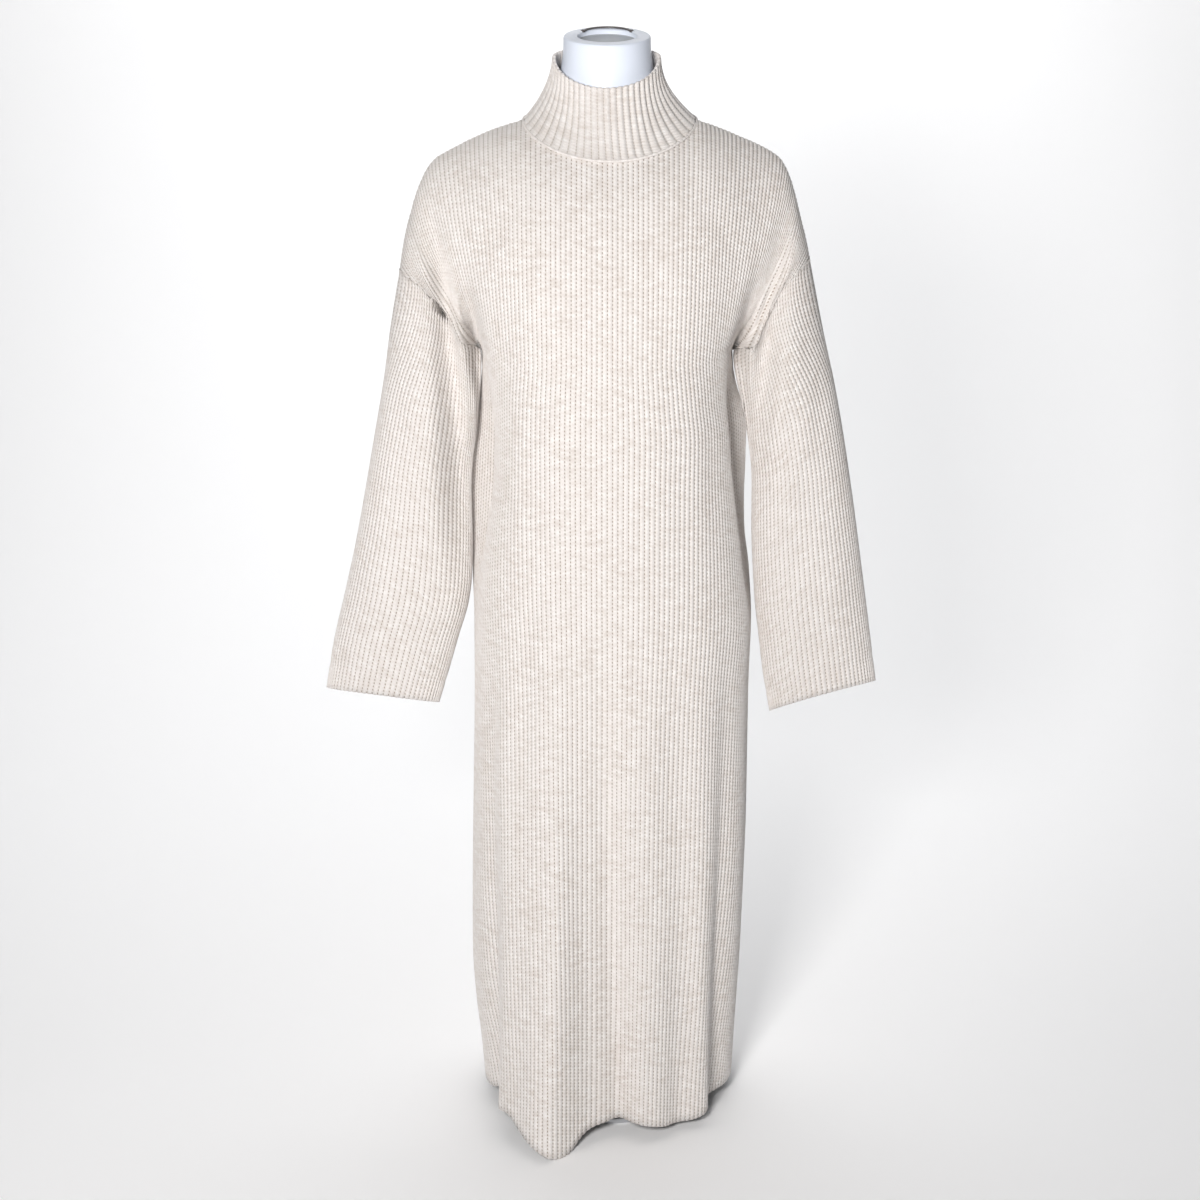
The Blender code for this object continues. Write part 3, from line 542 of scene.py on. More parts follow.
    def yoke_points(self, face: FaceCut, side: SideCut, along: Array, part: Array) -> Array:
        """Points of the upper panel on one side.

        Args:
            face: Front or back.
            side: Side of the dress.
            along: Distance along the cloth from the middle.
            part: 0 at the top edge and 1 at the underarm's level or the armhole seam.

        Returns:
            World points in millimetres.
        """
        along, part = np.broadcast_arrays(np.asarray(along, float), np.asarray(part, float))
        x0, y0, z0 = self.top_edge(face, side, along)
        x1, y1 = self.section_points(face, side, self.underarm, np.clip(along / self.skirt_half, 0, 1))
        z1 = np.full(along.shape, self.underarm)
        past = (along - self.skirt_half) / (self.top_half - self.skirt_half)
        seam_x, seam_z = self.armhole(side, past)
        on_seam = past > 0
        x1 = np.where(on_seam, seam_x, x1)
        z1 = np.where(on_seam, seam_z, z1)
        w = part ** (1.15 + 0.5 * ease((along - 66) / 40))
        bow = 5 * ease((along - 120) / 80) * ease((self.top_half - along) / 90) * np.sin(math.pi * w)
        x = x0 + (x1 - x0) * w + bow
        z = z0 + (z1 - z0) * w
        keep = np.exp(-((np.maximum(along - self.skirt_half, 0) / 9) ** 2))
        y1 = np.where(on_seam, 0.0, y1)
        fix_top = y0 - self.yoke_depth(face, side, x0, z0)
        fix_low = (y1 - self.yoke_depth(face, side, x1, z1)) * keep
        y = self.yoke_depth(face, side, x, z) + fix_top * (1 - part) ** 5 + fix_low * part**4
        return np.stack([side.sign * x, face.sign * y, z], -1)

    def armhole_normal(self, face: FaceCut, side: SideCut, along: Array) -> Array:
        """Outward directions along the armhole, shared by the panel and the sleeve.

        Args:
            face: Front or back.
            side: Side of the dress.
            along: Distance along the cloth from the middle, past the underarm.

        Returns:
            Unit vectors.
        """
        along = np.clip(along, self.skirt_half + 8, self.top_half - 16)
        here = self.yoke_points(face, side, along, np.ones(along.shape))
        above = self.yoke_points(face, side, along, np.full(along.shape, 0.95))
        past = self.yoke_points(face, side, along + 4, np.ones(along.shape))
        before = self.yoke_points(face, side, along - 4, np.ones(along.shape))
        normal = unit(np.cross(past - before, here - above))
        return normal * np.sign(np.mean(normal[..., 1]) * face.sign)

    def skirt_points(self, face: FaceCut, side: SideCut, parts: Array, height: float) -> Array:
        """One row of points of the body and skirt on one side.

        Args:
            face: Front or back.
            side: Side of the dress.
            parts: 0 at the middle and 1 at the side seam.
            height: Level of the row.

        Returns:
            World points in millimetres.
        """
        down = (self.underarm - height) / (self.underarm - self.hem)
        x_hem, _ = self.section_points(face, side, self.hem, parts)
        drop = self.hem_drop(face, side.sign * x_hem) * ease((down - 0.55) / 0.45)
        x, y = self.section_points(face, side, height, parts)
        return np.stack([side.sign * x, face.sign * y, height - drop], -1)

    def sleeve_points(self, face: FaceCut, side: SideCut, around: Array, down: Array) -> Array:
        """Points of the front or back half of a sleeve.

        Args:
            face: Front or back.
            side: Side of the dress.
            around: 0 at the outer edge and 1 at the inner edge.
            down: 0 at the armhole and 1 at the cuff.

        Returns:
            World points in millimetres.
        """
        around, down = np.broadcast_arrays(np.asarray(around, float), np.asarray(down, float))
        seam_x, seam_z = self.armhole(side, 1 - around)
        past = self.skirt_half + (self.top_half - self.skirt_half) * (1 - around)
        seam_y = np.abs(self.yoke_points(face, side, past, np.ones(past.shape))[..., 1])
        outer = across_at(side.sleeve_edge, seam_z)
        inner = across_at(side.sleeve_inner, seam_z)
        seam_share = np.clip((outer - seam_x) / (outer - inner), 0, 1)
        full_share = (1 - np.cos(math.pi * around)) / 2
        share = seam_share + (full_share - seam_share) * ease(down / 0.28)
        cuff = side.cuff_outer + (side.cuff_inner - side.cuff_outer) * full_share
        cuff = cuff + side.cuff_arch * np.sin(math.pi * around)
        z = seam_z + (cuff - seam_z) * down
        outer = across_at(side.sleeve_edge, z)
        inner = across_at(side.sleeve_inner, z)
        x = outer + (inner - outer) * share
        fix = seam_y - self._tube_depth(face, side, seam_share, seam_z, outer + (inner - outer) * seam_share)
        forward = by_height(self.sleeve_forward, 1, z) * -face.sign
        y = self._tube_depth(face, side, share, z, x) + fix * (1 - down) ** 7 + forward
        return np.stack([side.sign * x, face.sign * y, z], -1)

    def _tube_depth(self, face: FaceCut, side: SideCut, share: Array, height: Array, across: Array) -> Array:
        """Depth of a sleeve from its middle plane.

        Args:
            face: Front or back.
            side: Side of the dress.
            share: Share of the sleeve's width from its outer edge.
            height: Heights.
            across: Places across.

        Returns:
            Depth.
        """
        deep = by_height(self.sleeve_depth, face.deep_column, height)
        round_off = np.clip(1 - np.abs(2 * share - 1) ** 2.3, 0, 1) ** (1 / 2.3)
        full = deep * round_off
        return np.maximum(full - self.creases(face, side, across, height), full * 0.12)


def grid_faces(first: int, rows: int, columns: int, closed: bool = False) -> list[tuple[int, ...]]:
    """Quads of a grid of points.

    Args:
        first: Index of the grid's first point.
        rows: Number of rows.
        columns: Number of columns.
        closed: Whether the last column joins the first.

    Returns:
        Faces as tuples of indices.
    """
    last = columns if closed else columns - 1
    i, j = np.meshgrid(np.arange(rows - 1), np.arange(last), indexing="ij")
    k = (j + 1) % columns
    quads = np.stack([i * columns + j, (i + 1) * columns + j, (i + 1) * columns + k, i * columns + k], -1)
    return [tuple(q) for q in (quads.reshape(-1, 4) + first).tolist()]


def bridge(fine: list[int], coarse: list[int], flip: bool = False) -> list[tuple[int, ...]]:
    """Faces between a finely divided edge and a coarse one.

    Args:
        fine: Indices along the fine edge.
        coarse: Indices along the coarse edge.
        flip: Whether to turn the faces over.

    Returns:
        One face for each coarse step.
    """
    step = (len(fine) - 1) // (len(coarse) - 1)
    faces = []
    for i in range(len(coarse) - 1):
        face = (*fine[i * step: (i + 1) * step + 1], coarse[i + 1], coarse[i])
        faces.append(face[::-1] if flip else face)
    return faces


def grid_normals(grid: Array, closed: bool = False) -> Array:
    """Unit normals of a grid of points.

    Args:
        grid: Points by row and column.
        closed: Whether the last column joins the first.

    Returns:
        Normals, all on one side of the grid.
    """
    down = np.gradient(grid, axis=0)
    if closed:
        along = (np.roll(grid, -1, axis=1) - np.roll(grid, 1, axis=1)) / 2
    else:
        along = np.gradient(grid, axis=1)
    return unit(np.cross(down, along))


def make_object(
    name: str,
    points: Array,
    faces: list[tuple[int, ...]],
    material: bpy.types.Material,
    counts: Array | None = None,
    wrap: float = 0.0,
) -> bpy.types.Object:
    """Make a smooth mesh object, with the knit's counts as a UV map where given.

    Args:
        name: Name of the piece.
        points: Points in millimetres.
        faces: Faces as tuples of indices.
        material: Finish of the piece.
        counts: For each point, its place counted in ribs and in courses.
        wrap: Ribs all round a closed piece, or 0.

    Returns:
        The new object.
    """
    mesh = bpy.data.meshes.new(name)
    mesh.from_pydata((np.asarray(points, float) * MM).tolist(), [], faces)
    mesh.polygons.foreach_set("use_smooth", [True] * len(mesh.polygons))
    if counts is not None:
        layer = mesh.uv_layers.new(name="knit")
        corners = np.empty(len(mesh.loops), dtype=np.int64)
        mesh.loops.foreach_get("vertex_index", corners)
        placed = counts[corners].astype(np.float32)
        if wrap:
            sizes = np.empty(len(mesh.polygons), dtype=np.int64)
            mesh.polygons.foreach_get("loop_total", sizes)
            owner = np.repeat(np.arange(len(sizes)), sizes)
            highest = np.full(len(sizes), -1e9, dtype=np.float32)
            np.maximum.at(highest, owner, placed[:, 0])
            placed[placed[:, 0] < highest[owner] - wrap / 2, 0] += wrap
        layer.data.foreach_set("uv", placed.ravel())
    mesh.materials.append(material)
    mesh.update()
    thing = bpy.data.objects.new(name, mesh)
    bpy.context.scene.collection.objects.link(thing)
    return thing


class Blend(Enum):
    """How two colours or values are put together."""

    MIX = "MIX"
    MULTIPLY = "MULTIPLY"
    OVERLAY = "OVERLAY"


class Bench:
    """A small workbench for a material's nodes."""

    def __init__(self, name: str) -> None:
        """Start a material with its main shader.

        Args:
            name: Name of the material.
        """
        self.material = bpy.data.materials.new(name)
        self.material.use_nodes = True
        self.tree = self.material.node_tree
        self.shader = self.tree.nodes["Principled BSDF"]

    def _feed(self, socket: bpy.types.NodeSocket, value: object) -> None:
        """Link a socket, or set its own value.

        Args:
            socket: Input to feed.
            value: Another node's socket, or a plain value.
        """
        if isinstance(value, bpy.types.NodeSocket):
            self.tree.links.new(value, socket)
        else:
            socket.default_value = value

    def math(self, kind: str, a: object, b: object = 0.0, clamp: bool = False) -> bpy.types.NodeSocket:
        """Add a math node.

        Args:
            kind: The node's operation.
            a: First value or socket.
            b: Second value or socket.
            clamp: Whether the result is kept from 0 to 1.

        Returns:
            The node's output.
        """
        node = self.tree.nodes.new("ShaderNodeMath")
        node.operation = kind
        node.use_clamp = clamp
        self._feed(node.inputs[0], a)
        self._feed(node.inputs[1], b)
        return node.outputs[0]

    def spread(
        self, value: object, low: float, high: float, to_low: float, to_high: float
    ) -> bpy.types.NodeSocket:
        """Add a smooth map range node.

        Args:
            value: Value or socket.
            low: Start of the range.
            high: End of the range.
            to_low: Result at the start.
            to_high: Result at the end.

        Returns:
            The node's output.
        """
        node = self.tree.nodes.new("ShaderNodeMapRange")
        node.interpolation_type = "SMOOTHSTEP"
        self._feed(node.inputs["Value"], value)
        for key, number in (("From Min", low), ("From Max", high), ("To Min", to_low), ("To Max", to_high)):
            node.inputs[key].default_value = number
        return node.outputs["Result"]

    def noise(self, place: object, scale: float, detail: float, rough: float = 0.55) -> bpy.types.NodeSocket:
        """Add a noise texture.

        Args:
            place: Socket with coordinates.
            scale: Scale of the noise.
            detail: Number of finer layers.
            rough: Strength of the finer layers.

        Returns:
            The noise's value.
        """
        node = self.tree.nodes.new("ShaderNodeTexNoise")
        self._feed(node.inputs["Vector"], place)
        node.inputs["Scale"].default_value = scale
        node.inputs["Detail"].default_value = detail
        node.inputs["Roughness"].default_value = rough
        return node.outputs["Fac"]

    def scaled(self, place: object, factors: tuple[float, float, float]) -> bpy.types.NodeSocket:
        """Scale coordinates.

        Args:
            place: Socket with coordinates.
            factors: Factor for each axis.

        Returns:
            Scaled coordinates.
        """
        node = self.tree.nodes.new("ShaderNodeMapping")
        self._feed(node.inputs["Vector"], place)
        node.inputs["Scale"].default_value = factors
        return node.outputs["Vector"]

    def blend(self, kind: Blend, share: object, a: object, b: object) -> bpy.types.NodeSocket:
        """Mix two colours.

        Args:
            kind: How they are mixed.
            share: Share of the second colour.
            a: First colour or socket.
            b: Second colour or socket.

        Returns:
            The mixed colour.
        """
        node = self.tree.nodes.new("ShaderNodeMix")
        node.data_type = "RGBA"
        node.blend_type = kind.value
        self._feed(node.inputs[0], share)
        self._feed(node.inputs[6], a)
        self._feed(node.inputs[7], b)
        return node.outputs[2]

    def bump(self, height: object, distance: float, strength: float) -> None:
        """Feed the shader's normal from a height.

        Args:
            height: Socket with the height.
            distance: Depth of the relief in metres.
            strength: Strength of the relief.
        """
        node = self.tree.nodes.new("ShaderNodeBump")
        node.inputs["Strength"].default_value = strength
        node.inputs["Distance"].default_value = distance
        self._feed(node.inputs["Height"], height)
        self.tree.links.new(node.outputs["Normal"], self.shader.inputs["Normal"])

    def coordinates(self, kind: str) -> bpy.types.NodeSocket:
        """Object coordinates or the knit's own counts.

        Args:
            kind: Object or knit.

        Returns:
            Socket with coordinates.
        """
        if kind == "knit":
            node = self.tree.nodes.new("ShaderNodeUVMap")
            node.uv_map = "knit"
            return node.outputs["UV"]
        node = self.tree.nodes.new("ShaderNodeTexCoord")
        return node.outputs["Object"]


@dataclass(frozen=True)
class KnitFinish:
    """Heathered rib knit, cream with beige and grey fibres, with shade painted into its rib grooves and the
    stitch holes along them.
    """

    name: str
    cream: tuple[float, float, float, float] = (0.785, 0.75, 0.73, 1.0)
    beige: tuple[float, float, float, float] = (0.56, 0.49, 0.44, 1.0)
    white: tuple[float, float, float, float] = (0.90, 0.89, 0.88, 1.0)
    # Painted shade: its colour, and how strongly it darkens the rib grooves and the stitch holes.
    shade: tuple[float, float, float, float] = (0.30, 0.25, 0.20, 1.0)
    groove_shade: float = 0.36
    hole_shade: float = 1.0
    groove_wide: float = 0.5
    relief: float = 0.0011
    relief_strength: float = 0.75
    dotted: bool = True

    def make(self) -> bpy.types.Material:
        """Build the material.

        Returns:
            The knit's material.
        """
        b = Bench(self.name)
        knit = b.coordinates("knit")
        here = b.coordinates("object")
        split = b.tree.nodes.new("ShaderNodeSeparateXYZ")
        b.tree.links.new(knit, split.inputs[0])
        ribs = split.outputs["X"]
        courses = split.outputs["Y"]
        to_crown = b.math("ABSOLUTE", b.math("COSINE", b.math("MULTIPLY", ribs, math.pi)))
        groove = b.spread(to_crown, 0.05, self.groove_wide, 1.0, 0.0)
        lean = b.math("ADD", b.math("MULTIPLY", to_crown, 0.35), b.math("MULTIPLY", ribs, 0.5))
        step = b.math("SINE", b.math("MULTIPLY", b.math("ADD", courses, lean), 2 * math.pi))
        stitch = b.math("ADD", b.math("MULTIPLY", step, 0.5), 0.5)
        hole = b.math("MULTIPLY", groove, b.spread(stitch, 0.35, 0.85, 0.0, 1.0))
        fibre = b.noise(here, 1500.0, 2.0, 0.6)
        streak = b.noise(b.scaled(knit, (0.34, 0.62, 1.0)), 1.0, 4.0, 0.68)
        patch = b.noise(here, 26.0, 4.0, 0.6)
        fleck = b.noise(b.scaled(knit, (1.6, 1.9, 1.0)), 1.0, 2.0, 0.6)
        beige_share = b.spread(b.math("ADD", b.math("MULTIPLY", streak, 0.7), b.math("MULTIPLY", patch, 0.3)),
                               0.44, 0.68, 0.0, 0.5)
        colour = b.blend(Blend.MIX, beige_share, self.cream, self.beige)
        colour = b.blend(Blend.MIX, b.spread(streak, 0.30, 0.48, 0.45, 0.0), colour, self.white)
        colour = b.blend(Blend.MIX, b.spread(fleck, 0.56, 0.76, 0.0, 0.34), colour, self.beige)
        colour = b.blend(Blend.MIX, b.spread(fibre, 0.35, 0.7, 0.0, 0.3), colour, self.beige)
        # Painted shade: the grooves between the ribs and the stitch holes along them are mixed towards the
        # shade colour.
        dark = b.math("MULTIPLY", groove, self.groove_shade * 0.55)
        if self.dotted:
            dark = b.math("ADD", b.math("MULTIPLY", groove, self.groove_shade * 0.4),
                          b.math("MULTIPLY", hole, self.hole_shade), clamp=True)
        colour = b.blend(Blend.MIX, dark, colour, self.shade)
        b.tree.links.new(colour, b.shader.inputs["Base Color"])
        crown = b.math("MULTIPLY", to_crown, 0.55)
        loops = b.math("MULTIPLY", stitch, 0.32)
        fluff = b.math("MULTIPLY", fibre, 0.30)
        height = b.math("ADD", b.math("ADD", crown, loops), fluff)
        b.bump(b.math("SUBTRACT", height, b.math("MULTIPLY", hole, 0.35)), self.relief, self.relief_strength)
        b.shader.inputs["Roughness"].default_value = 0.92
        b.shader.inputs["Specular IOR Level"].default_value = 0.22
        b.shader.inputs["Sheen Weight"].default_value = 0.28
        b.shader.inputs["Sheen Roughness"].default_value = 0.6
        b.shader.inputs["Sheen Tint"].default_value = (0.95, 0.93, 0.9, 1.0)
        return b.material


@dataclass(frozen=True)
class ShellFinish:
    """Smooth moulded plastic of the form, with faint handling marks."""

    name: str = "form_shell_finish"
    colour: tuple[float, float, float, float] = (0.78, 0.83, 0.93, 1.0)
    worn: tuple[float, float, float, float] = (0.68, 0.72, 0.80, 1.0)

    def make(self) -> bpy.types.Material:
        """Build the material.

        Returns:
            The shell's material.
        """
        b = Bench(self.name)
        here = b.coordinates("object")
        cloud = b.noise(here, 22.0, 3.0)
        colour = b.blend(Blend.MIX, b.spread(cloud, 0.5, 0.8, 0.0, 0.35), self.colour, self.worn)
        b.tree.links.new(colour, b.shader.inputs["Base Color"])
        grain = b.noise(here, 900.0, 2.0)
        rough = b.spread(cloud, 0.3, 0.8, 0.3, 0.46)
        b.tree.links.new(rough, b.shader.inputs["Roughness"])
        b.bump(grain, 0.0001, 0.25)
        b.shader.inputs["Specular IOR Level"].default_value = 0.45
        return b.material


@dataclass(frozen=True)
class MetalFinish:
    """Metal or dark coated metal with fine brushing."""

    name: str
    colour: tuple[float, float, float, float]
    metallic: float
    rough: float
    brushed: float = 0.12

    def make(self) -> bpy.types.Material:
        """Build the material.

        Returns:
            The metal's material.
        """
        b = Bench(self.name)
        here = b.coordinates("object")
        lines = b.noise(b.scaled(here, (40.0, 40.0, 1500.0)), 1.0, 3.0)
        smudge = b.noise(here, 35.0, 2.0)
        dull = tuple(c * 0.8 for c in self.colour[:3]) + (1.0,)
        colour = b.blend(Blend.MIX, b.spread(smudge, 0.45, 0.8, 0.0, 0.6), self.colour, dull)
        b.tree.links.new(colour, b.shader.inputs["Base Color"])
        rough = b.math("ADD", self.rough, b.math("MULTIPLY", lines, self.brushed))
        b.tree.links.new(rough, b.shader.inputs["Roughness"])
        b.shader.inputs["Metallic"].default_value = self.metallic
        b.bump(lines, 0.00005, 0.3)
        return b.material


@dataclass
class DressPanel:
    """Front or back of the dress: an outer face with ribs, a plain inner face and their edges."""

    garment: Garment
    face: FaceCut
    name: str
    ribs: int = 48
    yoke_ribs: int = 12
    samples: int = 4
    yoke_rows: int = 57
    skirt_rows: int = 75
    coarse: int = 4
    rib_depth: float = 0.95
    course: float = 4.1
    edge_columns: int = 7
    edge_lean: float = 0.4
    armhole_rows: int = 6
    armhole_fade: float = 3.0
    armhole_tuck: float = 1.1
    armhole_reach: float = 4.5
    armhole_firm: float = 0.85
    shoulder_tuck: float = 0.7
    shoulder_reach: float = 4.0
    side_tuck: float = 0.6
    side_firm: float = 0.7
    side_reach: float = 3.0
    thin_edge: float = 0.6
    skirt_coarse: int = 2

    def half(self, side: SideCut) -> tuple[Array, Array, Array]:
        """Base points and knit counts of one half.

        Args:
            side: Side of the dress.

        Returns:
            Yoke points, skirt points and the courses' count up from the underarm for both, stacked.
        """
        g = self.garment
        pitch = g.skirt_half / (self.ribs * self.samples)
        along = np.arange((self.ribs + self.yoke_ribs) * self.samples + 1) * pitch
        along = np.minimum(along, g.top_half - 0.6)
        part = np.linspace(0, 1, self.yoke_rows)
        yoke = g.yoke_points(self.face, side, along[None, :], part[:, None])
        below = np.linspace(0, 1, self.ribs * self.samples + 1)
        heights = np.linspace(g.underarm, g.hem, self.skirt_rows)
        skirt = np.array([g.skirt_points(self.face, side, below, float(h)) for h in heights])
        shoulder = along > g.neck_half - 0.5
        yoke[0, shoulder, 1] = self.face.sign * g.seam_gap / 2
        skirt[:, -1, 1] += self.face.sign * g.seam_gap / 2
        steps = np.linalg.norm(np.diff(yoke, axis=0), axis=2)
        up = np.concatenate([np.cumsum(steps[::-1], axis=0)[::-1], np.zeros((1, len(along)))])
        up += np.maximum(yoke[-1, :, 2] - g.underarm, 0) * 1.15
        return yoke, skirt, up

    def soft(self, points: Array) -> Array:
        """Height of the small folds laid on the panel.

        Args:
            points: World points in millimetres.

        Returns:
            Outward height.
        """
        total = np.zeros(points.shape[:-1])
        for across, height, deep, wide, tall, lean in self.face.soft_folds:
            middle = across + lean * (points[..., 2] - height)
            total += deep * hill(points[..., 0], middle, wide) * hill(points[..., 2], height, tall)
        return total

    def build(self, material: bpy.types.Material) -> bpy.types.Object:
        """Build the panel.

        Args:
            material: The knit.

        Returns:
            The panel.
        """
        left, right = self.half(LEFT_CUT), self.half(RIGHT_CUT)
        yoke = np.concatenate([left[0][:, ::-1], right[0][:, 1:]], 1)
        skirt = np.concatenate([left[1][:, ::-1], right[1][:, 1:]], 1)
        up = np.concatenate([left[2][:, ::-1], right[2][:, 1:]], 1)
        reach_top = (self.ribs + self.yoke_ribs) * self.samples
        reach_low = self.ribs * self.samples
        extra = reach_top - reach_low
        top_count = np.arange(-reach_top, reach_top + 1) / self.samples
        low_count = top_count[extra: -extra]
        yoke_normal = grid_normals(yoke)
        whole = np.concatenate([yoke[:, extra: -extra], skirt[1:]], 0)
        whole_normal = grid_normals(whole)
        if whole_normal[self.yoke_rows, reach_low, 1] * self.face.sign < 0:
            yoke_normal, whole_normal = -yoke_normal, -whole_normal
        yoke_normal[:, extra: -extra] = whole_normal[: self.yoke_rows]
        skirt_normal = whole_normal[self.yoke_rows - 1:]
        self._settle_edges(yoke, yoke_normal, skirt_normal)
        down = -np.concatenate([np.zeros((1, skirt.shape[1])),
                                np.cumsum(np.linalg.norm(np.diff(skirt, axis=0), axis=2), axis=0)])
        outer, inner, outer_uv, inner_uv = [], [], [], []
        for grid, normal, count, rise, skip in ((yoke, yoke_normal, top_count, up, 0),
                                                (skirt, skirt_normal, low_count, down, 1)):
            profile = rib_profile(count)[None, :]
            tuck, firm = self._seam_tuck(grid, skip)
            ribs = self.rib_depth * (1 - profile) * (1 - firm)
            face = grid + normal * (self.soft(grid) - ribs - tuck)[..., None]
            uv = np.stack(np.broadcast_arrays(count[None, :], rise / self.course), -1)
            outer.append(face[skip:].reshape(-1, 3))
            outer_uv.append(uv[skip:].reshape(-1, 2))
            thick = self.garment.wall * (1 - self.thin_edge * firm)
            back = grid + normal * (self.soft(grid) - thick)[..., None]
            every = self.skirt_coarse if skip else self.coarse
            inner.append(back[::every][skip:, :: self.coarse].reshape(-1, 3))
            inner_uv.append(uv[::every][skip:, :: self.coarse].reshape(-1, 2))
        faces = self._faces(reach_top, extra)
        if self.face.sign > 0:
            faces = [f[::-1] for f in faces]
        points = np.concatenate(outer + inner)
        return make_object(self.name, points, faces, material, np.concatenate(outer_uv + inner_uv))

    def _settle_edges(self, yoke: Array, yoke_normal: Array, skirt_normal: Array) -> None:
        """Turn the normals into the seams' own directions along the seams.

        Args:
            yoke: Base points of the upper panel.
            yoke_normal: Outward directions of the upper panel, changed in place.
            skirt_normal: Outward directions of the skirt, changed in place.
        """
        flat = np.gradient(yoke[0], axis=0)
        upward = unit(np.stack([-flat[:, 2], np.zeros(len(flat)), flat[:, 0]], -1))
        shoulder = np.abs(yoke[0, :, 0]) > self.garment.neck_half - 0.5
        g = self.garment
        ends = self.edge_columns
        shoulder[: ends + 1] = False
        shoulder[-ends - 1:] = False
        yoke_normal[0, shoulder] = upward[shoulder]
        lean = np.array([0.0, self.edge_lean * self.face.sign, 0.0])
        yoke_normal[:, :ends] = unit(upward[ends + 2] + lean)
        yoke_normal[:, -ends:] = unit(upward[-ends - 3] + lean)
        extra = self.yoke_ribs * self.samples
        pitch = g.skirt_half / (self.ribs * self.samples)
        past = np.minimum(g.skirt_half + np.arange(extra + 1) * pitch, g.top_half - 0.6)
        for side, columns in ((LEFT_CUT, slice(extra, None, -1)), (RIGHT_CUT, slice(-extra - 1, None, 1))):
            seam = g.armhole_normal(self.face, side, past)
            for back in range(1, self.armhole_rows + 1):
                near = math.exp(-(((back - 1) / self.armhole_fade) ** 2))
                now = yoke_normal[-back, columns]
                yoke_normal[-back, columns] = unit(now + (seam - now) * near)
        for column in (0, -1):
            skirt_normal[:, column] = unit(skirt_normal[:, column] * np.array([1, 0, 1]))

    def _seam_tuck(self, grid: Array, skirt: int) -> tuple[Array, Array]:
        """How far the cloth is drawn in along the seams, and how much they flatten its ribs.

        Args:
            grid: Base points of the upper panel or the skirt.
            skirt: 0 for the upper panel and 1 for the skirt.

        Returns:
            Depth drawn in, and share of the ribs' depth taken away.
        """
        steps = np.linalg.norm(np.diff(grid, axis=1), axis=2)
        place = np.concatenate([np.zeros((grid.shape[0], 1)), np.cumsum(steps, axis=1)], 1)
        from_edge = np.minimum(place, place[:, -1:] - place)
        if skirt:
            drawn = np.exp(-((from_edge / self.side_reach) ** 2))
            return self.side_tuck * drawn, self.side_firm * drawn
        rows = np.linalg.norm(np.diff(grid, axis=0), axis=2)
        down = np.concatenate([np.zeros((1, grid.shape[1])), np.cumsum(rows, axis=0)])
        extra = self.yoke_ribs * self.samples
        to_seam = down[-1:] - down
        on_armhole = np.zeros(grid.shape[1])
        on_armhole[:extra] = 1
        on_armhole[-extra:] = 1
        shoulder = (np.abs(grid[0, :, 0]) > self.garment.neck_half).astype(float)
        armhole = np.exp(-((to_seam / self.armhole_reach) ** 2)) * on_armhole[None, :]
        on_top = np.exp(-((down / self.shoulder_reach) ** 2)) * shoulder[None, :]
        return self.armhole_tuck * armhole + self.shoulder_tuck * on_top, self.armhole_firm * armhole

    def _faces(self, reach_top: int, extra: int) -> list[tuple[int, ...]]:
        """Faces of the whole shell.

        Args:
            reach_top: Columns from the middle to the armhole's outer end.
            extra: Columns past the side seam.

        Returns:
            Faces as point numbers.
        """
        top = 2 * reach_top + 1
        low = top - 2 * extra
        yr, sr = self.yoke_rows, self.skirt_rows - 1
        faces = grid_faces(0, yr, top)
        start = (yr - 1) * top + extra
        first = yr * top
        for j in range(low - 1):
            faces.append((start + j, first + j, first + j + 1, start + j + 1))
        faces += grid_faces(first, sr, low)
        base = first + sr * low
        ct, cl, ce = (top - 1) // self.coarse + 1, (low - 1) // self.coarse + 1, extra // self.coarse
        cy, cs = (yr - 1) // self.coarse + 1, sr // 2
        inner = grid_faces(base, cy, ct)
        in_start = base + (cy - 1) * ct + ce
        in_first = base + cy * ct
        for j in range(cl - 1):
            inner.append((in_start + j, in_first + j, in_first + j + 1, in_start + j + 1))
        inner += grid_faces(in_first, cs, cl)
        faces += [f[::-1] for f in inner]
        faces += bridge(list(range(top)), list(range(base, base + ct)))
        hem = first + (sr - 1) * low
        in_hem = in_first + (cs - 1) * cl
        faces += bridge(list(range(hem, hem + low)), list(range(in_hem, in_hem + cl)), True)
        row = (yr - 1) * top
        in_row = base + (cy - 1) * ct
        faces += bridge(list(range(row, row + extra + 1)), list(range(in_row, in_row + ce + 1)), True)
        faces += bridge(list(range(row + top - 1 - extra, row + top)),
                        list(range(in_row + ct - 1 - ce, in_row + ct)), True)
        for column, in_column, flip in ((0, 0, True), (low - 1, cl - 1, False)):
            fine = [start + column] + [first + r * low + column for r in range(sr)]
            rough = [in_start + in_column] + [in_first + r * cl + in_column for r in range(cs)]
            faces += bridge(fine, rough, flip)
        for column, in_column, flip in ((0, 0, True), (top - 1, ct - 1, False)):
            fine = [r * top + column for r in range(yr)]
            rough = [base + r * ct + in_column for r in range(cy)]
            faces += bridge(fine, rough, flip)
        return faces


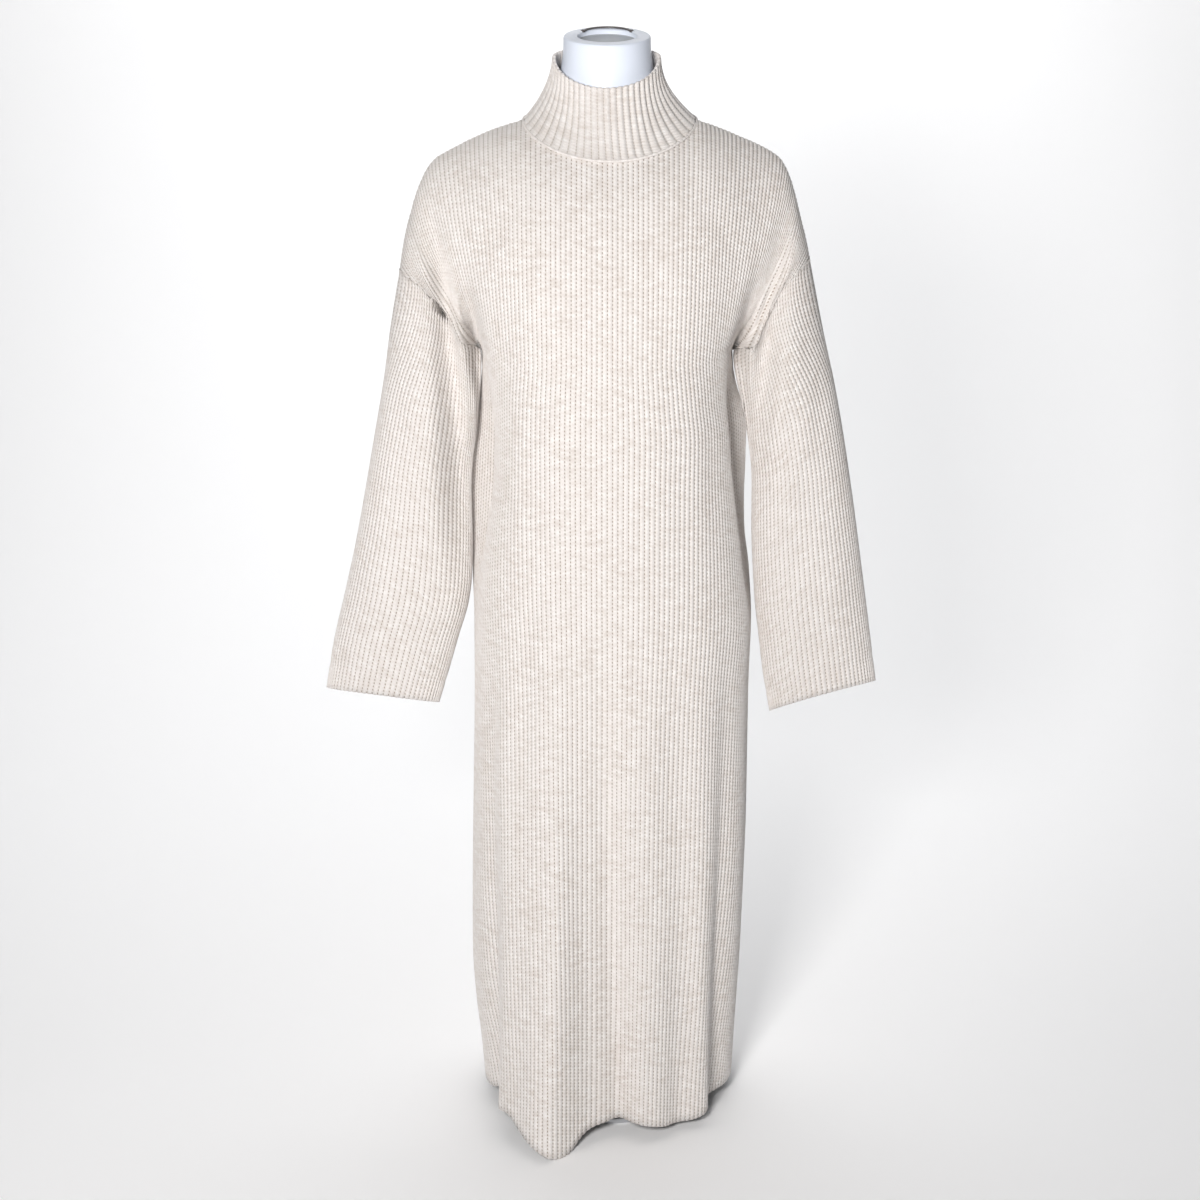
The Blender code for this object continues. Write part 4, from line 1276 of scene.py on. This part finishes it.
@dataclass
class Sleeve:
    """One wide straight sleeve set on the dropped shoulder, with a plain ribbed cuff."""

    garment: Garment
    side: SideCut
    name: str
    ribs: int = 33
    samples: int = 4
    rows: int = 65
    coarse: int = 4
    rib_depth: float = 0.95
    cuff_depth: float = 1.75
    cuff_height: float = 27.0
    course: float = 4.1
    first_row: float = 0.004
    seam_turn: float = 5.0
    seam_firm: float = 0.85
    firm_reach: float = 4.0
    seam_tuck: float = 1.1
    seam_reach: float = 4.5
    cuff_tuck: float = 0.7
    cuff_tuck_above: float = 2.0
    cuff_reach: float = 3.0
    thin_edge: float = 0.75
    thin_reach: float = 14.0
    least_wall: float = 0.3
    wrinkles: Rows = (
        (0.30, 0.28, -2.6, 0.10, 0.055, 0.35),
        (0.52, 0.36, 2.0, 0.12, 0.05, 0.3),
        (0.40, 0.50, -2.2, 0.13, 0.05, -0.25),
        (0.62, 0.62, -1.8, 0.10, 0.06, 0.2),
        (0.30, 0.70, 1.6, 0.12, 0.07, 0.15),
        (0.52, 0.84, -1.4, 0.10, 0.06, 0.1),
    )

    def build(self, material: bpy.types.Material) -> bpy.types.Object:
        """Build the sleeve.

        Args:
            material: The knit.

        Returns:
            The sleeve.
        """
        g = self.garment
        half = self.ribs * self.samples
        around = np.linspace(0, 1, half + 1)
        down = np.concatenate([[0.0, self.first_row], np.linspace(0, 1, self.rows - 1)[1:]])
        front = g.sleeve_points(FRONT_CUT, self.side, around[None, :], down[:, None])
        behind = g.sleeve_points(BACK_CUT, self.side, around[None, :], down[:, None])
        grid = np.concatenate([front, behind[:, -2:0:-1]], 1)
        normal = grid_normals(grid, closed=True)
        middle = grid.mean(axis=1, keepdims=True)
        normal *= np.sign(np.sum(normal * (grid - middle)))
        steps = np.linalg.norm(np.diff(grid, axis=0), axis=2)
        place = np.concatenate([np.zeros((1, grid.shape[1])), np.cumsum(steps, axis=0)])
        to_cuff = place[-1:] - place
        count = np.arange(grid.shape[1]) / self.samples
        past = g.skirt_half + (g.top_half - g.skirt_half) * (1 - around)
        seam = [g.armhole_normal(face, self.side, past) for face in (FRONT_CUT, BACK_CUT)]
        seam = np.concatenate([seam[0], seam[1][-2:0:-1]])[None]
        near = np.exp(-((place / self.seam_turn) ** 2))[..., None]
        normal = unit(normal + (seam - normal) * near)
        cuff = ease((self.cuff_height - to_cuff) / 5)
        deep = self.rib_depth + (self.cuff_depth - self.rib_depth) * cuff
        deep = deep * (1 - self.seam_firm * np.exp(-((place / self.firm_reach) ** 2)))
        lift = self._wrinkle(around, down)
        tuck = self.seam_tuck * np.exp(-((place / self.seam_reach) ** 2))
        tuck = tuck + self.cuff_tuck * hill(to_cuff, self.cuff_height + self.cuff_tuck_above, self.cuff_reach)
        outer = grid + normal * (lift - deep * (1 - rib_profile(count)[None, :]) - tuck)[..., None]
        thick = g.wall * (1 - self.thin_edge * np.exp(-((place / self.thin_reach) ** 2)))
        thick = np.maximum(thick, tuck + self.least_wall)
        inner = (grid + normal * (lift - thick)[..., None])[:: self.coarse, :: self.coarse]
        uv = np.stack(np.broadcast_arrays(count[None, :], -place / self.course), -1)
        inner_uv = uv[:: self.coarse, :: self.coarse]
        rows, columns = grid.shape[:2]
        in_rows, in_columns = inner.shape[:2]
        base = rows * columns
        faces = grid_faces(0, rows, columns, closed=True)
        faces += [f[::-1] for f in grid_faces(base, in_rows, in_columns, closed=True)]
        for row, in_row, flip in ((0, 0, False), (rows - 1, in_rows - 1, True)):
            fine = [row * columns + j % columns for j in range(columns + 1)]
            rough = [base + in_row * in_columns + j % in_columns for j in range(in_columns + 1)]
            faces += bridge(fine, rough, flip)
        if self.side.sign > 0:
            faces = [f[::-1] for f in faces]
        points = np.concatenate([outer.reshape(-1, 3), inner.reshape(-1, 3)])
        counts = np.concatenate([uv.reshape(-1, 2), inner_uv.reshape(-1, 2)])
        return make_object(self.name, points, faces, material, counts, 2.0 * self.ribs)

    def _wrinkle(self, around: Array, down: Array) -> Array:
        """Height of the soft folds laid on the sleeve, the same on its hidden side but shallower.

        Args:
            around: Share around the half sleeve for each column.
            down: Share down the sleeve for each row.

        Returns:
            Outward height for each row and column of the whole sleeve.
        """
        half = np.zeros((len(down), len(around)))
        for place, level, deep, wide, tall, lean in self.wrinkles:
            middle = level + lean * (around[None, :] - place)
            half += deep * hill(around[None, :], place, wide) * hill(down[:, None], middle, tall)
        half *= np.sin(math.pi * around)[None, :] ** 0.5
        return np.concatenate([half, 0.7 * half[:, -2:0:-1]], 1)


@dataclass
class Collar:
    """Funnel collar, knitted double with a rounded rim."""

    garment: Garment
    name: str = "collar_knit"
    rim_middle: float = -3.5
    rim_half: float = 57.5
    rim_front: float = 56.0
    rim_back: float = 53.0
    side_height: float = 1202.0
    rim_drop: float = 30.0
    rim_rise: float = 8.0
    flare: float = 2.05
    wall: float = 4.2
    lift: float = 0.6
    ribs: int = 52
    gather: float = 0.15
    samples: int = 6
    rows: int = 37
    rib_depth: float = 2.1
    rib_power: float = 0.7
    rim_ribs: float = 0.55
    foot_ribs: float = 0.35
    foot_fade: float = 0.08
    rim_start: float = 0.96
    rim_angles: tuple[int, ...] = (15, 45, 75, 105, 135, 165)
    sag: float = 0.9
    inner_skip: int = 3
    course: float = 3.4

    def outer(self, turn: Array, up: Array) -> Array:
        """Outer face of the collar.

        Args:
            turn: Angle round the neck, 0 at the front.
            up: 0 at the seam and 1 at the rim.

        Returns:
            World points in millimetres.
        """
        base = neckline(self.garment, turn - self.gather * np.sin(2 * turn))
        c = np.cos(turn)
        rim_x = self.rim_middle + self.rim_half * np.sin(turn)
        rim_y = np.where(c > 0, -self.rim_front * c, -self.rim_back * c)
        rim_z = self.side_height - np.where(c > 0, self.rim_drop * c, self.rim_rise * c)
        part = (1 - up) ** self.flare
        x = rim_x + (base[..., 0] - rim_x) * part
        y = rim_y + (base[..., 1] - rim_y) * part
        z = base[..., 2] + self.lift + (rim_z - base[..., 2] - self.lift) * up
        return np.stack([x, y, z], -1)

    def build(self, material: bpy.types.Material) -> bpy.types.Object:
        """Build the collar.

        Args:
            material: The collar's knit.

        Returns:
            The collar.
        """
        columns = self.ribs * self.samples
        count = np.arange(columns) / self.samples
        turn = 2 * math.pi * count / self.ribs
        up = np.linspace(0, self.rim_start, self.rows)
        face = self.outer(turn[None, :], up[:, None])
        out = np.stack([np.sin(turn), -np.cos(turn), np.zeros(columns)], -1)
        profile = rib_profile(count, self.rib_power)
        fade = np.clip(self.foot_ribs + up / self.foot_fade, 0, 1)
        sag = self.sag * np.sin(turn * 3 + 0.6)[None, :] * np.sin(math.pi * up)[:, None] ** 2
        outer = face + out * (sag - self.rib_depth * (1 - profile)[None, :] * fade[:, None])[..., None]
        top_middle = face[-1] - out * self.wall / 2
        half = self.wall / 2 - self.rim_ribs * self.rib_depth * (1 - profile)
        rim = []
        for angle in self.rim_angles:
            a = math.radians(angle)
            rim.append(top_middle + (out * math.cos(a) * half[:, None])
                       + np.array([0, 0, 1.0]) * (math.sin(a) * half)[:, None])
        inner = (face - out * self.wall)[::-1][:: self.inner_skip]
        grid = np.concatenate([outer, np.array(rim), inner])
        steps = np.linalg.norm(np.diff(grid, axis=0), axis=2)
        place = np.concatenate([np.zeros((1, columns)), np.cumsum(steps, axis=0)])
        uv = np.stack(np.broadcast_arrays(count[None, :], place / self.course), -1)
        rows = grid.shape[0]
        faces = grid_faces(0, rows, columns, closed=True)
        for j in range(columns):
            k = (j + 1) % columns
            faces.append((j, k, (rows - 1) * columns + k, (rows - 1) * columns + j))
        flipped = [f[::-1] for f in faces]
        counts = uv.reshape(-1, 2)
        return make_object(self.name, grid.reshape(-1, 3), flipped, material, counts, float(self.ribs))


def neckline(g: Garment, turn: Array) -> Array:
    """Neckline point at an angle round the neck.

    Args:
        g: The dress.
        turn: Angle round the neck, 0 at the front.

    Returns:
        World points in millimetres.
    """
    c = np.cos(turn)
    bulge = np.abs(c) ** g.neck_round
    y = np.where(c > 0, -FRONT_CUT.neck_reach * bulge, BACK_CUT.neck_reach * bulge)
    fall = np.abs(c) ** g.neck_fall
    z = g.neck_height + np.where(c > 0, FRONT_CUT.neck_rise * fall, BACK_CUT.neck_rise * fall)
    return np.stack([g.neck_half * np.sin(turn), y, z], -1)


@dataclass
class NeckSeam:
    """Raised linked seam round the foot of the collar."""

    garment: Garment
    collar: Collar
    name: str = "neck_seam_knit"
    radius: float = 1.6
    count: int = 432
    around: int = 10
    loops: int = 108
    relief: float = 0.28
    panel_end: float = 84.0
    side_slope: float = 0.3
    lift: float = 1.0
    side_fall: float = 1.3
    knots: int = 108
    soften: int = 3

    def middle(self, turn: float) -> Array:
        """Middle of the seam in the corner between panel and collar.

        Args:
            turn: Angle round the neck, 0 at the front.

        Returns:
            World point in millimetres.
        """
        out = np.array([math.sin(turn), -math.cos(turn), 0.0])
        face = FRONT_CUT if math.cos(turn) > 0 else BACK_CUT
        side = LEFT_CUT if math.sin(turn) < 0 else RIGHT_CUT
        along = min(abs(self.garment.neck_half * math.sin(turn)), self.panel_end)
        across, below = np.array([along, along, along + 3]), np.array([0.03, 0.08, 0.03])
        spots = self.garment.yoke_points(face, side, across, below)
        panel = unit(np.cross(spots[1] - spots[0], spots[2] - spots[0]))
        panel = panel * np.sign(panel @ (out + np.array([0, 0, 1.0])))
        shoulder = unit(np.array([self.side_slope * math.copysign(1, math.sin(turn)), 0, 0.95]))
        panel = unit(panel + (shoulder - panel) * float(ease((abs(math.sin(turn)) - 0.9) / 0.1)))
        low = self.collar.outer(np.array(turn), np.array(0.02))
        high = self.collar.outer(np.array(turn), np.array(0.12))
        beside = self.collar.outer(np.array(turn + 0.05), np.array(0.02))
        wall = unit(np.cross(high - low, beside - low))
        wall = wall * np.sign(wall @ out)
        spread = max(0.5, (1 + float(panel @ wall)) / 2) ** 0.5
        lift = self.lift - self.side_fall * float(ease((abs(math.sin(turn)) - 0.75) / 0.25))
        return neckline(self.garment, np.array(turn)) + unit(panel + wall) * lift / spread

    def build(self, material: bpy.types.Material) -> bpy.types.Object:
        """Build the seam.

        Args:
            material: The seam's knit.

        Returns:
            The seam.
        """
        knots = self.knots
        middles = np.array([self.middle(2 * math.pi * i / knots) for i in range(knots)])
        for _ in range(self.soften):
            middles = (np.roll(middles, 1, axis=0) + 2 * middles + np.roll(middles, -1, axis=0)) / 4
        turn = np.linspace(math.pi, 3 * math.pi, self.count, endpoint=False)
        place = (turn / (2 * math.pi) * knots) % knots
        wrapped = np.concatenate([middles, middles[:1]])
        middle = np.stack([np.interp(place, np.arange(knots + 1), wrapped[:, a]) for a in range(3)], -1)
        out = np.stack([np.sin(turn), -np.cos(turn), np.zeros(self.count)], -1)
        points, counts = [], []
        for i in range(self.count):
            stitch = self.loops * turn[i] / (2 * math.pi)
            for a in range(self.around):
                angle = 2 * math.pi * a / self.around
                radius = self.radius + self.relief * math.sin(2 * math.pi * stitch + 1.2 * math.sin(angle))
                spoke = out[i] * math.cos(angle) + np.array([0, 0, math.sin(angle)])
                points.append(middle[i] + radius * spoke)
                counts.append((0.06 * math.cos(angle), stitch))
        faces = []
        for i in range(self.count):
            j = (i + 1) % self.count
            for a in range(self.around):
                b = (a + 1) % self.around
                low, high = i * self.around, j * self.around
                faces.append((low + a, high + a, high + b, low + b))
        return make_object(self.name, np.array(points), faces, material, np.array(counts))


@dataclass
class DressForm:
    """Smooth limbless torso with a neck, a capped top with a shallow well, and a dark bar with two rivets."""

    garment: Garment
    clear: float = 2.8
    torso: Rows = ((500, 96, 78, 76), (504, 112, 90, 88), (516, 122, 99, 97), (545, 129, 104, 101),
                   (600, 131, 106, 101), (660, 122, 98, 91), (720, 108, 86, 80), (770, 101, 82, 78),
                   (830, 110, 95, 85), (889, 122, 110, 93), (935, 134, 114, 96), (965, 150, 114, 96),
                   (1000, 170, 114, 96), (1040, 181, 114, 96), (1075, 184, 114, 96))
    neck: Rows = ((1060, 64, 52, 46, 0), (1097, 70, 60, 48, 0), (1112, 70, 57, 50, 0),
                  (1131, 68, 52, 50, -0.5), (1142, 64, 50, 49, -1.5), (1155, 57, 47.5, 47, -2.5),
                  (1172, 52, 46.5, 46, -3),
                  (1190, 48.5, 45.8, 45.2, -3), (1206, 46.5, 45.5, 45, -3), (1216, 46, 45.5, 45, -3))
    tilt: float = 0.18
    cap_height: float = 1221.5
    cap: Rows = ((1.0, -2.6), (0.995, -1.5), (0.99, -0.9), (0.98, -0.4), (0.97, -0.2), (0.94, 0.0),
                 (0.80, 0.0), (0.70, 0.0), (0.69, -0.1), (0.678, -0.45), (0.668, -1.2), (0.658, -4.6),
                 (0.65, -5.6),
                 (0.635, -6.0), (0.5, -6.2), (0.2, -6.4))
    columns: int = 31
    bar_half: float = 25.0
    bar_near: float = 13.0
    bar_far: float = 36.0
    bar_wide: float = 2.6
    bar_thick: float = 1.6
    bar_clear: float = 0.35
    rivet_radius: float = 3.0

    def width(self, side: SideCut, height: float) -> float:
        """Half width of the form at a height.

        Args:
            side: Side of the form.
            height: Height.

        Returns:
            Half width.
        """
        if height > 1132:
            return float(by_height(self.neck, 1, height))
        torso = float(by_height(self.torso, 1, height))
        if height < 1070:
            return torso
        across = np.linspace(self.garment.neck_half, 215, 240)
        top = self.garment.outline_height(side, across) - self.clear - 2.7 * ease((across - 160) / 20)
        return min(torso, float(np.interp(-height, -top, across)))

    def deep(self, face: FaceCut, side: SideCut, across: Array, height: float) -> Array:
        """Depth of the form's surface.

        Args:
            face: Front or back.
            side: Side of the form.
            across: Places across.
            height: Height.

        Returns:
            Depth.
        """
        column = 2 if face.sign < 0 else 3
        wide = self.width(side, height)
        full = float(by_height(self.torso, column, height))
        top = self.garment.outline_height(side, across) - self.clear
        low = self.garment.underarm
        t = np.clip((height - low) / np.maximum(top - low, 1), 0, 1)
        roll = (1 - t**self.garment.roll_power) ** (1 / self.garment.roll_power)
        share = np.clip(across / wide, 0, 1)
        rounded = np.clip(1 - share**2.5, 0, 1) ** (1 / 2.5)
        body = full * rounded * roll * (0.94 - 0.07 * ease((height - 1030) / 60))
        if height < self.neck[0][0]:
            return body
        neck_wide = float(by_height(self.neck, 1, height))
        neck_deep = float(by_height(self.neck, column, height))
        neck = neck_deep * np.sqrt(np.clip(1 - (across / neck_wide) ** 2, 0, 1))
        if height > 1132:
            return neck
        soft = 9.0
        both = np.logaddexp(body / soft, neck / soft) * soft - soft * math.log(2)
        return np.maximum(both, 0) * np.clip(1 - share**8, 0, 1) ** 0.5

    def ring(self, height: float) -> Array:
        """Closed section of the form.

        Args:
            height: Height.

        Returns:
            World points in millimetres.
        """
        turn = np.linspace(0, math.pi / 2, self.columns)
        parts = []
        quarters = ((FRONT_CUT, LEFT_CUT, -1), (FRONT_CUT, RIGHT_CUT, 1),
                    (BACK_CUT, RIGHT_CUT, -1), (BACK_CUT, LEFT_CUT, 1))
        for face, side, order in quarters:
            x = self.width(side, height) * np.sin(turn)
            y = self.deep(face, side, x, height)
            y[-1] = 0.0
            points = np.stack([side.sign * x, face.sign * y, np.full(x.shape, height)], -1)
            parts.append(points[::order][:-1])
        ring = np.concatenate(parts)
        ring[:, 0] += by_height(self.neck, 4, height)
        ring[:, 2] += self.tilt * ease((height - 1160) / 50) * ring[:, 1]
        return ring

    def build_body(self, material: bpy.types.Material, well_shade: bpy.types.Material) -> bpy.types.Object:
        """Build the torso, neck and cap.

        Args:
            material: The shell.
            well_shade: Grey painted shade for the floor of the cap's shallow well, standing in for the shade
                down inside the neck.

        Returns:
            The form's body.
        """
        heights = [500, 502, 504, 509, 516, 530, 545]
        heights += [*range(570, 1040, 22), *range(1040, 1131, 5)]
        heights += [1131, 1137, 1143, 1150, 1157, 1165, 1172, 1180, 1190, 1200, 1208, 1216]
        rings = [self.ring(float(h)) for h in heights]
        middle = np.array([self.neck[-1][4], 0.0, 0.0])
        rim = rings[-1]
        for scale, rise in self.cap:
            ring = middle + (rim - middle) * scale
            ring[:, 2] = self.cap_height + rise + self.tilt * ring[:, 1]
            rings.append(ring)
        grid = np.array(rings)
        rows, columns = grid.shape[:2]
        points = np.concatenate([grid.reshape(-1, 3), [[0, 0, 500.0], [middle[0], 0, self.cap_height - 6.4]]])
        faces = [f[::-1] for f in grid_faces(0, rows, columns, closed=True)]
        for j in range(columns):
            k = (j + 1) % columns
            faces.append((rows * columns, k, j))
            faces.append((rows * columns + 1, (rows - 1) * columns + j, (rows - 1) * columns + k))
        body = make_object("form_shell", points, faces, material)
        body.data.materials.append(well_shade)
        # The well's floor, the cap's last rings and its middle, takes the grey painted shade.
        first = (rows - 5) * columns
        for face in body.data.polygons:
            if min(face.vertices) >= first:
                face.material_index = 1
        return body

    def on_cap(self, x: float, y: float, lift: float) -> Array:
        """Point over the cap's tilted face.

        Args:
            x: Across.
            y: Depth.
            lift: Height over the cap.

        Returns:
            The point.
        """
        return np.array([x, y, self.cap_height + self.tilt * y + lift])

    def _bar_place(self, part: float) -> tuple[float, float]:
        """Middle line of the bar, from the left rivet round the back to the right one.

        Args:
            part: 0 at the left rivet and 1 at the right one.

        Returns:
            Place across and place in depth.
        """
        angle = math.pi * part
        x = self.neck[-1][4] - self.bar_half * math.cos(angle)
        return x, self.bar_near + (self.bar_far - self.bar_near) * math.sin(angle)

    def build_bar(self, material: bpy.types.Material) -> bpy.types.Object:
        """Build the dark bar with softened edges.

        Args:
            material: The bar's finish.

        Returns:
            The bar.
        """
        steps, points = 56, []
        w, t, r = self.bar_wide / 2, self.bar_thick, 0.3
        shape = ((-w + r, 0), (w - r, 0), (w, r), (w, t - r), (w - r, t), (-w + r, t), (-w, t - r), (-w, r))
        for i in range(steps + 1):
            x, y = self._bar_place(i / steps)
            xa, ya = self._bar_place(min(i / steps + 0.01, 1.0))
            xb, yb = self._bar_place(max(i / steps - 0.01, 0.0))
            length = math.hypot(xa - xb, ya - yb)
            nx, ny = (ya - yb) / length, -(xa - xb) / length
            points += [self.on_cap(x + a * nx, y + a * ny, self.bar_clear + b) for a, b in shape]
        size = len(shape)
        faces = [tuple(range(size))]
        for i in range(steps):
            for a in range(size):
                b = (a + 1) % size
                faces.append((i * size + a, (i + 1) * size + a, (i + 1) * size + b, i * size + b))
        faces.append(tuple(steps * size + a for a in reversed(range(size))))
        return make_object("form_bar", np.array(points), faces, material)

    def build_rivet(self, name: str, part: float, material: bpy.types.Material) -> bpy.types.Object:
        """Build a low domed rivet head on an end of the bar.

        Args:
            name: Name of the piece.
            part: 0 for the left end and 1 for the right end.
            material: The rivet's finish.

        Returns:
            The rivet.
        """
        x, y = self._bar_place(part)
        base, count, rings = self.bar_clear + self.bar_thick + 0.3, 28, []
        for radius, rise in ((0.96, 0.0), (1.0, 0.12), (0.97, 0.4), (0.86, 0.75), (0.66, 1.0), (0.36, 1.16)):
            for i in range(count):
                a = 2 * math.pi * i / count
                spot = self.rivet_radius * radius
                rings.append(self.on_cap(x + spot * math.cos(a), y + spot * math.sin(a), base + rise))
        faces = [f[::-1] for f in grid_faces(0, 6, count, closed=True)]
        faces.append(tuple(reversed(range(count))))
        faces.append(tuple(range(5 * count, 6 * count)))
        return make_object(name, np.array(rings), faces, material)


@dataclass
class Stand:
    """Steel pole on a round steel base."""

    pole_radius: float = 11.0
    base_radius: float = 100.0
    base_thick: float = 7.0
    gap: float = 0.3
    top: float = 500.0

    def turned(self, name: str, profile: Rows, material: bpy.types.Material) -> bpy.types.Object:
        """Turn a profile of radius and height.

        Args:
            name: Name of the piece.
            profile: Rows of radius and height.
            material: The metal.

        Returns:
            The turned piece.
        """
        count = 72
        a = np.linspace(0, 2 * math.pi, count, endpoint=False)
        rings = [np.stack([r * np.cos(a), r * np.sin(a), np.full(count, h)], -1) for r, h in profile]
        faces = [f[::-1] for f in grid_faces(0, len(profile), count, closed=True)]
        faces.append(tuple(reversed(range(count))))
        last = (len(profile) - 1) * count
        faces.append(tuple(range(last, last + count)))
        return make_object(name, np.concatenate(rings), faces, material)

    def build(self, material: bpy.types.Material) -> list[bpy.types.Object]:
        """Build the pole and the base.

        Args:
            material: The metal.

        Returns:
            The pole and the base.
        """
        low, high = self.base_thick + self.gap, self.top - self.gap
        r = self.pole_radius
        pole = ((r + 4.6, low), (r + 5, low + 0.5), (r + 5, low + 9.4), (r + 4.4, low + 10),
                (r + 0.4, low + 13.2), (r, low + 14), (r, high - 12), (r + 3.6, high - 9.4),
                (r + 4, high - 9), (r + 4, high - 0.4),
                (r + 3.6, high))
        b, t = self.base_radius, self.base_thick
        base = ((b - 1, 0.0), (b - 0.3, 0.3), (b, 1.0), (b, t - 2.5), (b - 0.3, t - 1.4), (b - 1.1, t - 0.5),
                (b - 2.5, t), (b - 40, t))
        return [self.turned("stand_pole", pole, material), self.turned("stand_base", base, material)]


@dataclass
class Studio:
    """Pale floor running up into a backdrop, soft lights and the camera."""

    eye: tuple[float, float, float] = (-0.0105, -2.4, 1.292)
    pitch: float = 74.0
    lens: float = 66.36
    floor_colour: tuple[float, float, float, float] = (0.94, 0.94, 0.945, 1.0)

    def build_floor(self) -> bpy.types.Object:
        """Build the floor and backdrop as one sweep.

        Returns:
            The sweep.
        """
        profile = [(-5.0, 0.0), (1.2, 0.0)]
        for i in range(1, 17):
            a = math.pi / 2 * i / 16
            profile.append((1.2 + 1.4 * math.sin(a), 1.4 - 1.4 * math.cos(a)))
        profile.append((2.6, 5.0))
        points = np.array([(x, y, z) for y, z in profile for x in (-6.0, 6.0)]) / MM
        faces = [(2 * i, 2 * i + 1, 2 * i + 3, 2 * i + 2) for i in range(len(profile) - 1)]
        b = Bench("studio_floor_finish")
        b.shader.inputs["Base Color"].default_value = self.floor_colour
        b.shader.inputs["Roughness"].default_value = 0.9
        return make_object("studio_floor", points, faces, b.material)

    def build_lights(self) -> None:
        """Build the lights and the surrounding light."""
        for name, place, target, size, power, colour in (
            ("key_light", (-0.40, -2.1, 1.35), (0.0, 0.0, 0.92), 0.42, 48.0, (1.0, 0.985, 0.97)),
            ("fill_light", (1.5, -2.4, 1.0), (0.0, 0.0, 0.8), 1.4, 2.5, (0.95, 0.975, 1.0)),
            ("backdrop_light", (0.0, 1.1, 2.6), (0.0, 2.6, 1.2), 2.4, 54.0, (1.0, 1.0, 1.0)),
        ):
            lamp = bpy.data.lights.new(name, "AREA")
            lamp.size = size
            lamp.energy = power
            lamp.color = colour
            thing = bpy.data.objects.new(name, lamp)
            bpy.context.scene.collection.objects.link(thing)
            thing.location = place
            thing.rotation_euler = (Vector(target) - Vector(place)).to_track_quat("-Z", "Y").to_euler()
        world = bpy.data.worlds.new("studio_world")
        world.use_nodes = True
        world.node_tree.nodes["Background"].inputs["Color"].default_value = (0.93, 0.96, 1.0, 1.0)
        world.node_tree.nodes["Background"].inputs["Strength"].default_value = 0.11
        bpy.context.scene.world = world

    def build_camera(self) -> None:
        """Build the camera."""
        camera = bpy.data.cameras.new("studio_camera")
        camera.lens = self.lens
        camera.sensor_width = 36.0
        camera.clip_start = 0.05
        thing = bpy.data.objects.new("studio_camera", camera)
        bpy.context.scene.collection.objects.link(thing)
        thing.location = self.eye
        thing.rotation_euler = (math.radians(self.pitch), 0.0, 0.0)
        bpy.context.scene.camera = thing

    def build(self) -> None:
        """Build the whole studio."""
        self.build_floor()
        self.build_lights()
        self.build_camera()
        bpy.context.scene.view_settings.view_transform = "Standard"
        bpy.context.scene.view_settings.look = "None"


def seat(piece: bpy.types.Object, node: str) -> None:
    """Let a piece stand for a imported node.

    Args:
        piece: The visual piece.
        node: The node that it replaces.
    """
    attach(piece, "root")
    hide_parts(node)
    LOG.info("%s stands for %s, %d faces", piece.name, node, len(piece.data.polygons))


def dress(garment: Garment) -> None:
    """Build the knitted pieces.

    Args:
        garment: Form of the worn dress.
    """
    knit = KnitFinish("rib_knit").make()
    # The collar's knit gets deeper painted shade in its grooves and fainter painted shade in its holes; the
    # seam's knit gets only faint painted shade.
    collar_knit = KnitFinish("collar_rib_knit", groove_shade=0.8, hole_shade=0.3, groove_wide=0.36,
                             relief=0.0012).make()
    seam_knit = KnitFinish("seam_knit", groove_shade=0.1, hole_shade=0.1, dotted=False).make()
    front = DressPanel(garment, FRONT_CUT, "front_knit").build(knit)
    back = DressPanel(garment, BACK_CUT, "back_knit").build(knit)
    left = Sleeve(garment, LEFT_CUT, "sleeve_left_knit").build(knit)
    right = Sleeve(garment, RIGHT_CUT, "sleeve_right_knit").build(knit)
    collar_shape = Collar(garment)
    collar = collar_shape.build(collar_knit)
    seam = NeckSeam(garment, collar_shape).build(seam_knit)
    seat(front, "dress_front")
    seat(back, "dress_back")
    seat(left, "sleeve_left")
    seat(right, "sleeve_right")
    seat(collar, "collar")
    seat(seam, "neck_seam")


def form(garment: Garment) -> None:
    """Build the dress form and its stand.

    Args:
        garment: Form of the worn dress, which the shoulders follow.
    """
    shell = ShellFinish().make()
    dark = MetalFinish("dark_bar_finish", (0.11, 0.10, 0.10, 1.0), 0.3, 0.42).make()
    steel = MetalFinish("stand_steel_finish", (0.62, 0.63, 0.65, 1.0), 1.0, 0.28, 0.2).make()
    shape = DressForm(garment)
    # Grey painted shade for the floor of the cap's shallow well, standing in for the shade inside the neck;
    # its darker patches are random mottling.
    well = ShellFinish("form_well_painted_shade", (0.40, 0.42, 0.45, 1.0), (0.30, 0.31, 0.33, 1.0)).make()
    seat(shape.build_body(shell, well), "form_body")
    seat(shape.build_bar(dark), "form_handle")
    seat(shape.build_rivet("rivet_head_left", 0.0, dark), "rivet_left")
    seat(shape.build_rivet("rivet_head_right", 1.0, dark), "rivet_right")
    pole, base = Stand().build(steel)
    seat(pole, "form_pole")
    seat(base, "form_base")


def main() -> None:
    """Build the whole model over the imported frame."""
    logging.basicConfig(level=logging.INFO, format="%(message)s")
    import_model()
    garment = Garment()
    form(garment)
    dress(garment)
    Studio().build()


if __name__ == "__main__":
    main()
